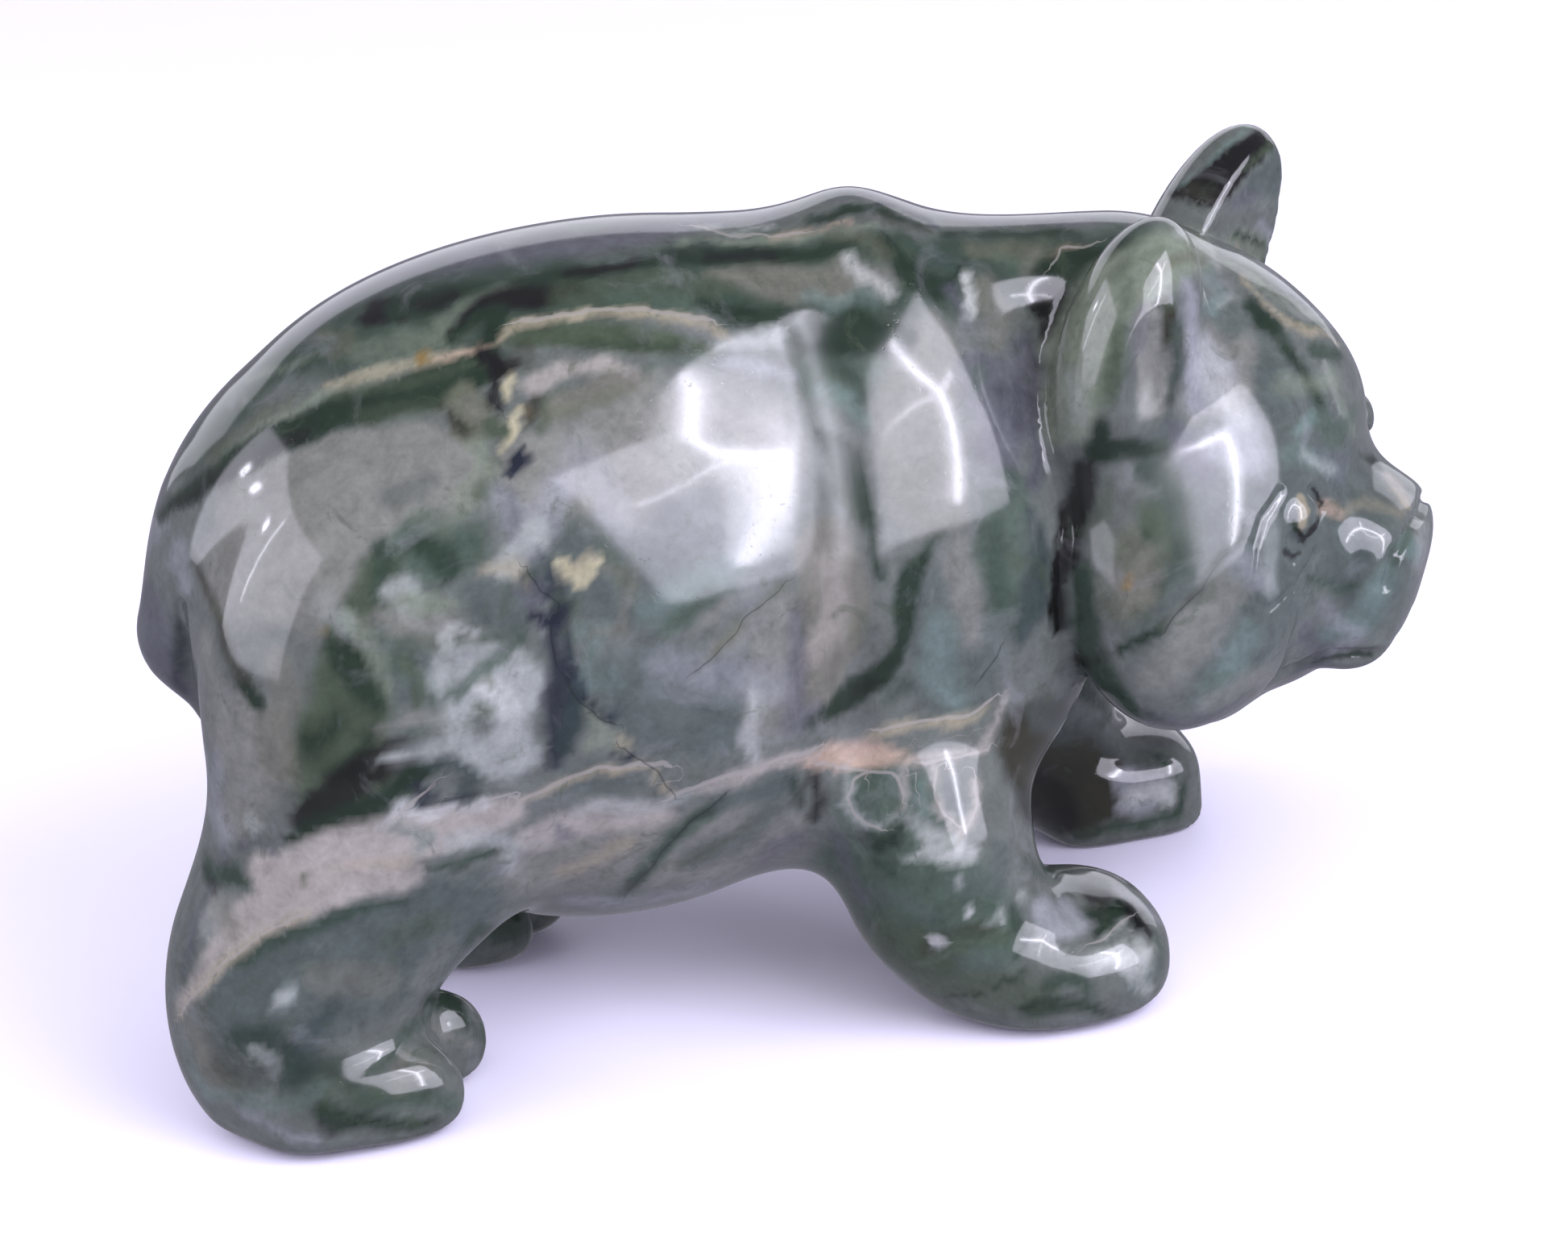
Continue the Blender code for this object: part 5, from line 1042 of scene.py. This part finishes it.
def seam_field(plane, seams):
    """The signed distance to the nearest thin seam over its half width, and the seam's strength there."""
    offset = np.full(len(plane), NO_SEAM)
    strength = np.zeros(len(plane))
    nearest = np.full(len(plane), BEYOND)
    for wide, path in seams:
        for start, end in zip(path[:-1], path[1:]):
            place = np.array(start)
            run = np.array(end) - place
            span = np.linalg.norm(run)
            local = plane - place
            along = local @ run / span
            side = (run[0] * local[:, 1] - run[1] * local[:, 0]) / span
            past = np.maximum(np.maximum(-along, along - span), 0.0)
            away = np.hypot(side, past)
            closer = away < nearest
            nearest = np.where(closer, away, nearest)
            offset = np.where(closer, np.where(past > 0.0, np.copysign(away, side), side) / wide, offset)
            strength = np.where(closer, fade(SEAM_FADE[0] - away / SEAM_FADE[1]), strength)
    return offset, strength


class Wire:
    """A shader socket that takes part in sums, so that shader maths reads as an expression."""

    def __init__(self, bench, socket):
        self.bench = bench
        self.socket = socket

    def sum_node(self, operation, *values):
        """One Math node on these values."""
        return self.bench.add("ShaderNodeMath", {"operation": operation}, dict(enumerate(values)))

    def __add__(self, other):
        return self.sum_node("ADD", self, other)

    def __radd__(self, other):
        return self.sum_node("ADD", other, self)

    def __sub__(self, other):
        return self.sum_node("SUBTRACT", self, other)

    def __rsub__(self, other):
        return self.sum_node("SUBTRACT", other, self)

    def __mul__(self, other):
        return self.sum_node("MULTIPLY", self, other)

    def __rmul__(self, other):
        return self.sum_node("MULTIPLY", other, self)

    def __abs__(self):
        return self.sum_node("ABSOLUTE", self)

    def step(self, low, high):
        """0 below low, 1 above high, soft between them."""
        return self.bench.add("ShaderNodeMapRange", {"interpolation_type": "SMOOTHSTEP"},
                              {"Value": self, "From Min": low, "From Max": high})


class Bench:
    """A material's node tree, with one way to add a node."""

    def __init__(self, material):
        material.use_nodes = True
        self.tree = material.node_tree

    def add(self, kind, settings=None, sockets=None, output=0):
        """Adds a node, sets its settings, then its sockets' values or links, and gives one of its outputs."""
        node = self.tree.nodes.new(kind)
        for name, value in (settings or {}).items():
            setattr(node, name, value)
        for name, value in (sockets or {}).items():
            if isinstance(value, Wire):
                self.tree.links.new(value.socket, node.inputs[name])
            else:
                node.inputs[name].default_value = value
        return Wire(self, node.outputs[output])

    def blend(self, amount, first, second, way="MIX"):
        """Two colours mixed."""
        settings = {"data_type": "RGBA", "blend_type": way}
        return self.add("ShaderNodeMix", settings, {0: amount, 6: first, 7: second}, output=2)

    def grain(self, place, scale, detail, rough, warp):
        """Noise between 0 and 1 at a scale in cycles per metre."""
        values = {"Vector": place, "Scale": scale, "Detail": detail, "Roughness": rough, "Distortion": warp}
        return self.add("ShaderNodeTexNoise", {}, values)


def stone_finish(finish):
    """The polished stone: its brushed colours, with their painted shade and painted highlights, fine clouds
    and grain, thin seams and small pits.
    """
    material = bpy.data.materials.new("polished_stone")
    bench = Bench(material)
    shader = bench.tree.nodes["Principled BSDF"]
    place = bench.add("ShaderNodeTexCoord", output=3)
    paint = bench.add("ShaderNodeAttribute", {"attribute_name": "stone_colour"})
    seams = bench.add("ShaderNodeAttribute", {"attribute_name": "stone_seams"}, output=1)
    strong = bench.add("ShaderNodeAttribute", {"attribute_name": "stone_seams"}, output=3)
    pale_offset, pale_strength, dark_offset = (
        bench.add("ShaderNodeSeparateXYZ", {}, {0: seams}, output=number) for number in range(3))
    cloud = bench.grain(place, *CLOUD_NOISE)
    fine = bench.grain(place, *FINE_NOISE)
    mist = bench.grain(place, *MIST_NOISE)
    fleck = bench.grain(place, *FLECK_NOISE)
    shade = SHADE[0] + cloud * SHADE[1] + (fine - 0.5) * SHADE[2]
    shade = bench.add("ShaderNodeCombineColor", {}, {0: shade, 1: shade, 2: shade})
    colour = bench.blend(1.0, paint, shade, "MULTIPLY")
    colour = bench.blend(mist.step(*MIST_EDGE) * MIST_SHARE, colour, (*finish.mist, 1.0))
    colour = bench.blend(fleck.step(*FLECK_EDGE) * FLECK_SHARE, colour, (*finish.moss, 1.0))
    waver = (cloud - 0.5) * SEAM_WAVER[0] + (fine - 0.5) * SEAM_WAVER[1]
    pale = (1.0 - abs(pale_offset + waver).step(*PALE_EDGE)) * pale_strength * PALE_SHARE
    colour = bench.blend(pale, colour, (*finish.seam, 1.0))
    dark = (1.0 - abs(dark_offset + waver).step(*DARK_EDGE)) * strong * DARK_SHARE
    colour = bench.blend(dark, colour, (*finish.crack, 1.0))
    pits = bench.grain(place, *PIT_NOISE).step(*PIT_EDGE)
    height = cloud * UNEVEN_SHARES[0] + fine * UNEVEN_SHARES[1] - pits * finish.pits
    uneven = {"Strength": finish.unevenness, "Distance": UNEVEN_HEIGHT, "Height": height}
    normal = bench.add("ShaderNodeBump", {}, uneven)
    fold = bench.add("ShaderNodeAttribute", {"attribute_name": "stone_colour"}, output=3)
    polish = finish.polish + (mist - 0.5) * MIST_ROUGHNESS + dark * DARK_ROUGHNESS
    polish = polish + fold * finish.fold_dullness
    for name, value in (("Base Color", colour), ("Roughness", polish), ("Normal", normal)):
        bench.tree.links.new(value.socket, shader.inputs[name])
    shader.inputs["IOR"].default_value = finish.gloss
    shader.inputs["Metallic"].default_value = 0.0
    return material


def brushed_colours(plane, waver, palette):
    """The broad colours at each point, one brushed marking over another: mostly the stone's own, with some
    painted shade and painted highlights.
    """
    colours = np.tile(np.array(palette["ground"]), (len(plane), 1))
    for colour, strength, soft, ragged, path in MARKINGS_AND_PAINTED_LIGHT:
        reach = max(stop[2] for stop in path) + soft + ragged
        low = np.min([stop[:2] for stop in path], axis=0) - reach
        high = np.max([stop[:2] for stop in path], axis=0) + reach
        near = ((plane > low) & (plane < high)).all(axis=1)
        inside = brush(plane[near], path) + waver[near] * ragged
        cover = fade(inside / soft + 0.5) * strength
        colours[near] += (np.array(palette[colour]) - colours[near]) * cover[:, None]
    return colours


def stone_marks(points, finish):
    """The colour and how far in a fold each point is, and how it lies to the nearest pale and dark seam."""
    depth = np.clip((points[:, 1] - FAR_SIDE[0]) / FAR_SIDE[1], 0.0, 1.0)
    sway = np.stack([wander(points, SWAY_WANDER[0], seed, SWAY_WANDER[1]) for seed in (1, 2)], axis=1)
    waver = wander(points, EDGE_WANDER[0], 3, EDGE_WANDER[1])
    slight = np.stack([wander(points, SLIGHT_WANDER[0], seed, SLIGHT_WANDER[1]) for seed in (4, 5)], axis=1)
    plane = marking_plane(points) + slight * SLIGHT_SWAY + sway * (SWAY[0] + SWAY[1] * depth)[:, None]
    palette = {name: tuple(getattr(finish, name.replace(" ", "_"))) for name in COLOUR_NAMES}
    colours = brushed_colours(plane, waver, palette)
    seams = np.stack(seam_field(plane, PALE_SEAMS) + seam_field(plane, DARK_SEAMS), axis=1)
    design = points * (UNITS_LONG / FIGURE_LENGTH) + np.array((*MIDDLE, 0.0))
    valley, crease = (line(design, fold[0], FOLD_REACH, 1.0) for fold in (FLANK_VALLEY, NECK_CREASE))
    folds = np.maximum(valley, crease)
    return np.hstack((colours, folds[:, None])), seams


def read_points(mesh):
    """The mesh's points as rows of x, y and z."""
    points = np.empty(len(mesh.vertices) * 3)
    mesh.vertices.foreach_get("co", points)
    return points.reshape(-1, 3)


def store(mesh, name, rows):
    """Keeps four numbers at each point of the mesh."""
    layer = mesh.attributes.new(name, "FLOAT_COLOR", "POINT")
    layer.data.foreach_set("color", np.ascontiguousarray(rows, dtype=np.float32).ravel())


def mark_stone(mesh, finish):
    """Brushes the stone's colours, with their painted shade and painted highlights, and its seams onto the
    mesh's points.
    """
    colours, seams = stone_marks(read_points(mesh), finish)
    store(mesh, "stone_colour", colours)
    store(mesh, "stone_seams", seams)


def add_ball(bm, centre, radii, tilt=0.0, lean=0.0, yaw=0.0, place=None):
    """One mass as a ball, for the rough blank."""
    size = Matrix.Diagonal((*radii, 1.0))
    matrix = Matrix.Translation(centre) @ Matrix(turn(yaw, tilt, lean)).to_4x4() @ size
    if place is not None:
        matrix = place @ matrix
    bmesh.ops.create_icosphere(bm, subdivisions=BALL_FINENESS, radius=1.0, matrix=matrix)


def rough_blank():
    """Every mass as a ball, before they are made one."""
    bm = bmesh.new()
    for masses in (TRUNK, HIND_RIGHT, HIND_LEFT, FORE_RIGHT, FORE_LEFT):
        for centre, radii, tilt, *_ in masses.values():
            add_ball(bm, centre, radii, tilt)
    for masses, side in ((HIND_RIGHT, -1), (HIND_LEFT, 1)):
        centre = masses["foot"][0]
        for (ahead, outward, up), radii in TOES:
            add_ball(bm, (centre[0] + ahead, centre[1] + side * outward, centre[2] + up), radii)
    for share in (0.0, 0.5, 1.0):
        radius = TAIL_RADII[0] + (TAIL_RADII[1] - TAIL_RADII[0]) * share
        add_ball(bm, Vector(TAIL_ROOT).lerp(Vector(TAIL_END), share), (radius,) * 3)
    place = Matrix.Translation(HEAD_CENTRE) @ Matrix(turn(HEAD_TURN, HEAD_NOD)).to_4x4()
    for masses in (HEAD, MUZZLE):
        for centre, radii, tilt, *_ in masses.values():
            add_ball(bm, centre, radii, tilt, place=place)
    centre, radii, yaw, nod = FACE_SIDE[:4]
    add_ball(bm, centre, radii, nod, yaw=yaw, place=place)
    add_ball(bm, across((centre,))[0], radii, nod, yaw=-yaw, place=place)
    add_ball(bm, NOSE[0], NOSE[1], place=place)
    for centre, radii, lean, *_ in (RIGHT_EAR, LEFT_EAR):
        add_ball(bm, centre, radii, 0.0, -lean, place=place)
    mesh = bpy.data.meshes.new("blank")
    bm.to_mesh(mesh)
    bm.free()
    return mesh


def remade(mesh, voxel):
    """The mesh remade as one even skin."""
    body = bpy.data.objects.new("work", mesh)
    bpy.context.scene.collection.objects.link(body)
    remesh = body.modifiers.new("even skin", "REMESH")
    remesh.mode = "VOXEL"
    remesh.voxel_size = voxel
    remesh.adaptivity = 0.0
    bpy.context.view_layer.update()
    evaluated = body.evaluated_get(bpy.context.evaluated_depsgraph_get())
    result = bpy.data.meshes.new_from_object(evaluated)
    bpy.data.objects.remove(body, do_unlink=True)
    return result


def surface_slope(points, level, form):
    """The form's slope at each point, by small steps."""
    slope = np.empty_like(points)
    for axis in range(3):
        moved = points.copy()
        moved[:, axis] += SLOPE_STEP
        slope[:, axis] = (form(moved) - level) / SLOPE_STEP
    return slope


def settle(mesh, form, rounds, ease):
    """Moves the mesh's points onto the form's surface, easing them apart between moves."""
    points = read_points(mesh)
    edges = np.empty(len(mesh.edges) * 2, dtype=np.int64)
    mesh.edges.foreach_get("vertices", edges)
    edges = edges.reshape(-1, 2)
    count = np.bincount(edges.ravel(), minlength=len(points)).astype(float)[:, None]
    for number in range(rounds):
        level = form(points)
        slope = surface_slope(points, level, form)
        size = (slope ** 2).sum(1) + TINY
        points = points - slope * np.clip(level / size, -LARGEST_MOVE, LARGEST_MOVE)[:, None]
        if number < rounds - PLAIN_ROUNDS:
            normal = slope / np.sqrt(size)[:, None]
            middle = np.zeros_like(points)
            for axis in range(3):
                middle[:, axis] = np.bincount(edges[:, 0], points[edges[:, 1], axis], len(points))
                middle[:, axis] += np.bincount(edges[:, 1], points[edges[:, 0], axis], len(points))
            pull = middle / count - points
            pull -= normal * (pull * normal).sum(1)[:, None]
            points = points + pull * ease
    mesh.vertices.foreach_set("co", points.ravel())
    mesh.update()
    return mesh


def near_detail(points, reach):
    """Whether each point lies by a cut line of the face or the feet, within this reach."""
    face = face_frame(points)
    near = np.zeros(len(points), dtype=bool)
    for path, *_ in (*FACE_LINES.values(), *FINE_LINES.values()):
        for mirrored in (False, True):
            near |= line(face, across(path) if mirrored else path, reach, 1.0) > NEAR_SHARE
    for mirrored in (False, True):
        eye = across((EYE,))[0] if mirrored else EYE
        near |= np.linalg.norm(face - np.array(eye), axis=1) < EYE_SIZE[0] + reach
    return near


def refine(mesh, reach):
    """Splits the faces that lie by a fine line."""
    points = read_points(mesh)
    near = near_detail(points, reach)
    bm = bmesh.new()
    bm.from_mesh(mesh)
    bm.verts.ensure_lookup_table()
    faces = [face for face in bm.faces if all(near[vert.index] for vert in face.verts)]
    edges = list({edge for face in faces for edge in face.edges})
    bmesh.ops.subdivide_edges(bm, edges=edges, cuts=1, use_grid_fill=True)
    bmesh.ops.triangulate(bm, faces=[face for face in bm.faces if len(face.verts) > 4])
    bm.to_mesh(mesh)
    bm.free()
    return mesh


def fine_carving(points):
    """The carving with the fine lines of the face."""
    form = carving(points)
    face = face_frame(points)
    for path, reach, depth in FINE_LINES.values():
        for mirrored in (False, True):
            form = form + line(face, across(path) if mirrored else path, reach, depth)
    return form


class PandaForm(bpy.types.PropertyGroup):
    """The carving's size and fineness"""

    length: FloatProperty(name="Length", description="The figure's length from tail to muzzle",
                          default=FIGURE_LENGTH, min=0.03, unit="LENGTH", subtype="DISTANCE")
    grain: FloatProperty(name="Grain", description="The size of the carving's smallest facets",
                         default=0.00064, min=0.0004, unit="LENGTH", subtype="DISTANCE")


def tint(label, words, value):
    """A colour that a user can change."""
    return FloatVectorProperty(name=label, description=words, default=value, size=3, min=0.0, max=1.0,
                               subtype="COLOR")


def fraction(label, words, value, highest=1.0):
    """A number from nought up that a user can change."""
    return FloatProperty(name=label, description=words, default=value, min=0.0, max=highest)


def wattage(label, words, value):
    """A light's power that a user can change."""
    return FloatProperty(name=label, description=words, default=value, min=0.0, unit="POWER")


class StoneFinish(bpy.types.PropertyGroup):
    """The stone's colours and polish"""

    # Dark green and navy also paint shade, and lilac and white also paint highlights, through the markings.
    ground: tint("Ground", "The stone where nothing else marks it", (0.074, 0.084, 0.077))
    ash: tint("Ash", "Warm grey clouds", (0.120, 0.123, 0.111))
    stone_grey: tint("Stone grey", "Brownish grey", (0.093, 0.093, 0.077))
    slate: tint("Slate", "Cool green grey", (0.048, 0.061, 0.057))
    lilac: tint("Lilac", "Pale lilac grey", (0.168, 0.176, 0.190))
    violet_grey: tint("Violet grey", "Dark violet grey", (0.054, 0.055, 0.068))
    pale: tint("Pale", "Pale clouds", (0.199, 0.216, 0.205))
    white: tint("White", "The palest clouds", (0.298, 0.310, 0.299))
    rose_grey: tint("Rose grey", "Pale rosy grey", (0.210, 0.197, 0.180))
    rose: tint("Rose", "Brownish rose", (0.145, 0.119, 0.100))
    peach: tint("Peach", "Peach", (0.275, 0.205, 0.156))
    sand: tint("Sand", "Sandy beige", (0.199, 0.178, 0.127))
    cream: tint("Cream", "Cream", (0.329, 0.303, 0.200))
    ochre: tint("Ochre", "Ochre", (0.120, 0.076, 0.018))
    olive: tint("Olive", "Olive grey", (0.067, 0.073, 0.050))
    sage: tint("Sage", "Pale sage", (0.112, 0.132, 0.100))
    moss: tint("Moss", "Mossy green", (0.035, 0.049, 0.030))
    green: tint("Green", "Middle green", (0.037, 0.057, 0.043))
    teal: tint("Teal", "Blue green", (0.083, 0.119, 0.108))
    deep_green: tint("Deep green", "Deep green", (0.018, 0.032, 0.022))
    dark_green: tint("Dark green", "Dark green", (0.008, 0.017, 0.010))
    black_green: tint("Black green", "Nearly black green", (0.004, 0.004, 0.004))
    navy_green: tint("Navy green", "Dark blue green", (0.017, 0.028, 0.028))
    navy: tint("Navy", "Blue black", (0.008, 0.011, 0.018))
    umber: tint("Umber", "Dark olive brown", (0.017, 0.017, 0.011))
    mist: tint("Mist", "Pale cloud in the stone", (0.17, 0.175, 0.185))
    seam: tint("Pale seam", "The thin pale seams", (0.21, 0.20, 0.185))
    crack: tint("Dark seam", "The thin dark cracks", (0.006, 0.008, 0.010))
    polish: fraction("Polish", "How rough the polished stone is", 0.10)
    fold_dullness: fraction("Fold dullness", "How much rougher the stone is in its long folds", 0.35)
    gloss: FloatProperty(name="Gloss", description="How strongly the stone bends light", default=1.58,
                         min=1.0, max=3.0)
    pits: fraction("Pits", "How deep the small pits are", 0.5, 2.0)
    unevenness: fraction("Unevenness", "How uneven the polish is", 0.06)


class Studio(bpy.types.PropertyGroup):
    """The floor, the air and the lights"""

    floor: tint("Floor", "The floor's colour", (0.80, 0.77, 0.93))
    air: tint("Air", "The colour of the light all round", (0.86, 0.84, 1.0))
    air_strength: fraction("Air strength", "How bright the light all round is", 0.30, 10.0)
    window: wattage("Window", "Power of the large window light", 4.8)
    side: wattage("Side window", "Power of the window light by the tail", 2.9)
    above: wattage("Light above", "Power of the light above", 14.0)
    behind: wattage("Wall behind", "Power of the pale wall behind", 7.0)
    front: wattage("Wall in front", "Power of the pale wall in front", 8.5)
    ribs: fraction("Ribs", "Brightness of the window's ribs, in watts per square metre", 58.0, 1000.0)


class CarvePanda(bpy.types.Operator):
    """Carves the panda at its finest and puts it in the solid's place"""

    bl_idname = "panda.carve"
    bl_label = "Carve the panda"

    def execute(self, context):
        form = context.scene.panda_form
        unit = form.length / UNITS_LONG
        grain = form.grain * 1.0
        mesh = settle(remade(rough_blank(), BLANK_GRAIN / unit), carving, *SETTLING["blank"])
        mesh = settle(remade(mesh, grain / unit), carving, *SETTLING["skin"])
        mesh = settle(refine(mesh, SPLIT_REACH[0]), carving, *SETTLING["split"])
        mesh = refine(mesh, SPLIT_REACH[1])
        mesh = settle(mesh, fine_carving, *SETTLING["fine"])
        points = read_points(mesh)
        points[:, 2] = np.maximum(points[:, 2], 0.0)
        points[:, 0] -= MIDDLE[0]
        points[:, 1] -= MIDDLE[1]
        mesh.vertices.foreach_set("co", (points * unit).ravel())
        mesh.update()
        bm = bmesh.new()
        bm.from_mesh(mesh)
        bmesh.ops.recalc_face_normals(bm, faces=bm.faces)
        bm.to_mesh(mesh)
        bm.free()
        mesh.name = "polished_panda"
        mesh.shade_smooth()
        panda = bpy.data.objects.new("polished_panda", mesh)
        context.scene.collection.objects.link(panda)
        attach(panda, "root")
        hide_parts("panda_carving")
        return {"FINISHED"}


class FinishStone(bpy.types.Operator):
    """Veins and polishes the stone, and paints some shade and highlights onto it"""

    bl_idname = "panda.finish_stone"
    bl_label = "Vein and polish the stone"

    def execute(self, context):
        panda = bpy.data.objects.get("polished_panda")
        if panda is None:
            raise RuntimeError("carve the panda first")
        mark_stone(panda.data, context.scene.panda_stone)
        panda.data.materials.clear()
        panda.data.materials.append(stone_finish(context.scene.panda_stone))
        return {"FINISHED"}


def aim(turned, lift, away, centre=STUDIO_MIDDLE):
    """A place at this turn, lift and distance, facing the centre."""
    way = facing(turned, lift)
    return Matrix.Translation(Vector(centre) + way * away) @ way.to_track_quat("Z", "Y").to_matrix().to_4x4()


def panel_light(name, matrix, size, power, colour=(1.0, 1.0, 1.0)):
    """A flat rectangular light."""
    light = bpy.data.lights.new(name, "AREA")
    light.shape = "RECTANGLE"
    light.size = size[0]
    light.size_y = size[1]
    light.energy = power
    light.color = colour
    lamp = bpy.data.objects.new(name, light)
    lamp.matrix_world = matrix
    bpy.context.scene.collection.objects.link(lamp)
    return lamp


def hang_lights(studio):
    """A window at the front right with bright ribs, one by the tail, and walls above, behind and in front."""
    window = aim(*WINDOW[0])
    panel_light("window", window, WINDOW[1], studio.window, WINDOW_TINT)
    crossing = window @ Matrix.Translation(CROSSING)
    for wide, tall, part in GLOWS:
        panel_light("window glow", crossing, (wide, tall), studio.window * wide * tall * part, WINDOW_TINT)
    for slant, reach, wide, part in RIBS:
        rib = crossing @ Matrix.Rotation(math.radians(slant), 4, "Z")
        rib = rib @ Matrix.Translation((0.0, reach / 2.0, RIB_STANDS))
        panel_light("rib", rib, (wide, reach), studio.ribs * wide * reach * part, WINDOW_TINT)
    panel_light("side window", aim(*SIDE_WINDOW[0]), SIDE_WINDOW[1], studio.side, WINDOW_TINT)
    panel_light("side rib", aim(*SIDE_RIB[0]), SIDE_RIB[1], studio.ribs * SIDE_RIB_SHARE, WINDOW_TINT)
    panel_light("side lamp", aim(*SIDE_LAMP[0]), SIDE_LAMP[1], studio.ribs * SIDE_LAMP_SHARE, WINDOW_TINT)
    panel_light("wall behind", aim(*WALL_BEHIND[0]), WALL_BEHIND[1], studio.behind, WALL_TINT)
    above = panel_light("light above", aim(*LIGHT_ABOVE[0], LIGHT_ABOVE_MIDDLE), LIGHT_ABOVE[1], studio.above)
    above.visible_glossy = False
    front = panel_light("wall in front", aim(*WALL_IN_FRONT[0]), WALL_IN_FRONT[1], studio.front)
    front.visible_glossy = False


class BuildStudio(bpy.types.Operator):
    """Lays the floor, hangs the lights and sets the camera"""

    bl_idname = "panda.studio"
    bl_label = "Build the studio"

    def execute(self, context):
        studio = context.scene.panda_studio
        bm = bmesh.new()
        bmesh.ops.create_grid(bm, x_segments=8, y_segments=8, size=FLOOR_HALF)
        mesh = bpy.data.meshes.new("floor")
        bm.to_mesh(mesh)
        bm.free()
        floor = bpy.data.objects.new("floor", mesh)
        context.scene.collection.objects.link(floor)
        material = bpy.data.materials.new("pale_floor")
        material.use_nodes = True
        shader = material.node_tree.nodes["Principled BSDF"]
        shader.inputs["Base Color"].default_value = (*studio.floor, 1.0)
        shader.inputs["Roughness"].default_value = FLOOR_ROUGHNESS
        shader.inputs["Specular IOR Level"].default_value = FLOOR_SHINE
        mesh.materials.append(material)
        floor.visible_glossy = False
        world = context.scene.world or bpy.data.worlds.new("air")
        context.scene.world = world
        world.use_nodes = True
        sky = world.node_tree.nodes["Background"]
        sky.inputs["Color"].default_value = (*studio.air, 1.0)
        sky.inputs["Strength"].default_value = studio.air_strength
        hang_lights(studio)
        context.scene.view_settings.view_transform = "Standard"
        camera = bpy.data.cameras.new("camera")
        camera.sensor_width = CAMERA_SENSOR
        camera.lens = CAMERA_LENS
        view = bpy.data.objects.new("camera", camera)
        view.matrix_world = camera_place()
        context.scene.collection.objects.link(view)
        context.scene.camera = view
        return {"FINISHED"}


def camera_place():
    """The camera's place, from its spot, turn, lift and roll."""
    turned = math.radians(CAMERA_TURN)
    roll = math.radians(CAMERA_ROLL)
    back = facing(CAMERA_TURN, CAMERA_LIFT)
    right = Vector((math.cos(turned), math.sin(turned), 0.0))
    up = back.cross(right)
    side = right * math.cos(roll) - up * math.sin(roll)
    top = right * math.sin(roll) + up * math.cos(roll)
    matrix = Matrix((side, top, back)).transposed().to_4x4()
    return Matrix.Translation(CAMERA_SPOT) @ matrix


class PandaPanel(bpy.types.Panel):
    """The panda's sizes, colours and steps"""

    bl_idname = "VIEW3D_PT_panda"
    bl_label = "Polished panda"
    bl_space_type = "VIEW_3D"
    bl_region_type = "UI"
    bl_category = "Panda"

    def draw(self, context):
        for group, step in (("panda_form", "panda.carve"), ("panda_stone", "panda.finish_stone"),
                            ("panda_studio", "panda.studio")):
            settings = getattr(context.scene, group)
            column = self.layout.box().column()
            for name in settings.bl_rna.properties.keys():
                if name not in ("rna_type", "name"):
                    column.prop(settings, name)
            column.operator(step)


CLASSES = (PandaForm, StoneFinish, Studio, CarvePanda, FinishStone, BuildStudio, PandaPanel)
SETTINGS = (("panda_form", PandaForm), ("panda_stone", StoneFinish), ("panda_studio", Studio))


def register():
    """Adds the classes and their settings to Blender."""
    for item in CLASSES:
        bpy.utils.register_class(item)
    for name, group in SETTINGS:
        setattr(bpy.types.Scene, name, PointerProperty(type=group))


def unregister():
    """Takes the settings and the classes out again."""
    for name, group in SETTINGS:
        delattr(bpy.types.Scene, name)
    for item in reversed(CLASSES):
        bpy.utils.unregister_class(item)


def main():
    """Runs every step."""
    register()
    bpy.ops.panda.carve()
    bpy.ops.panda.finish_stone()
    bpy.ops.panda.studio()
    bpy.context.view_layer.update()


if __name__ == "__main__":
    main()
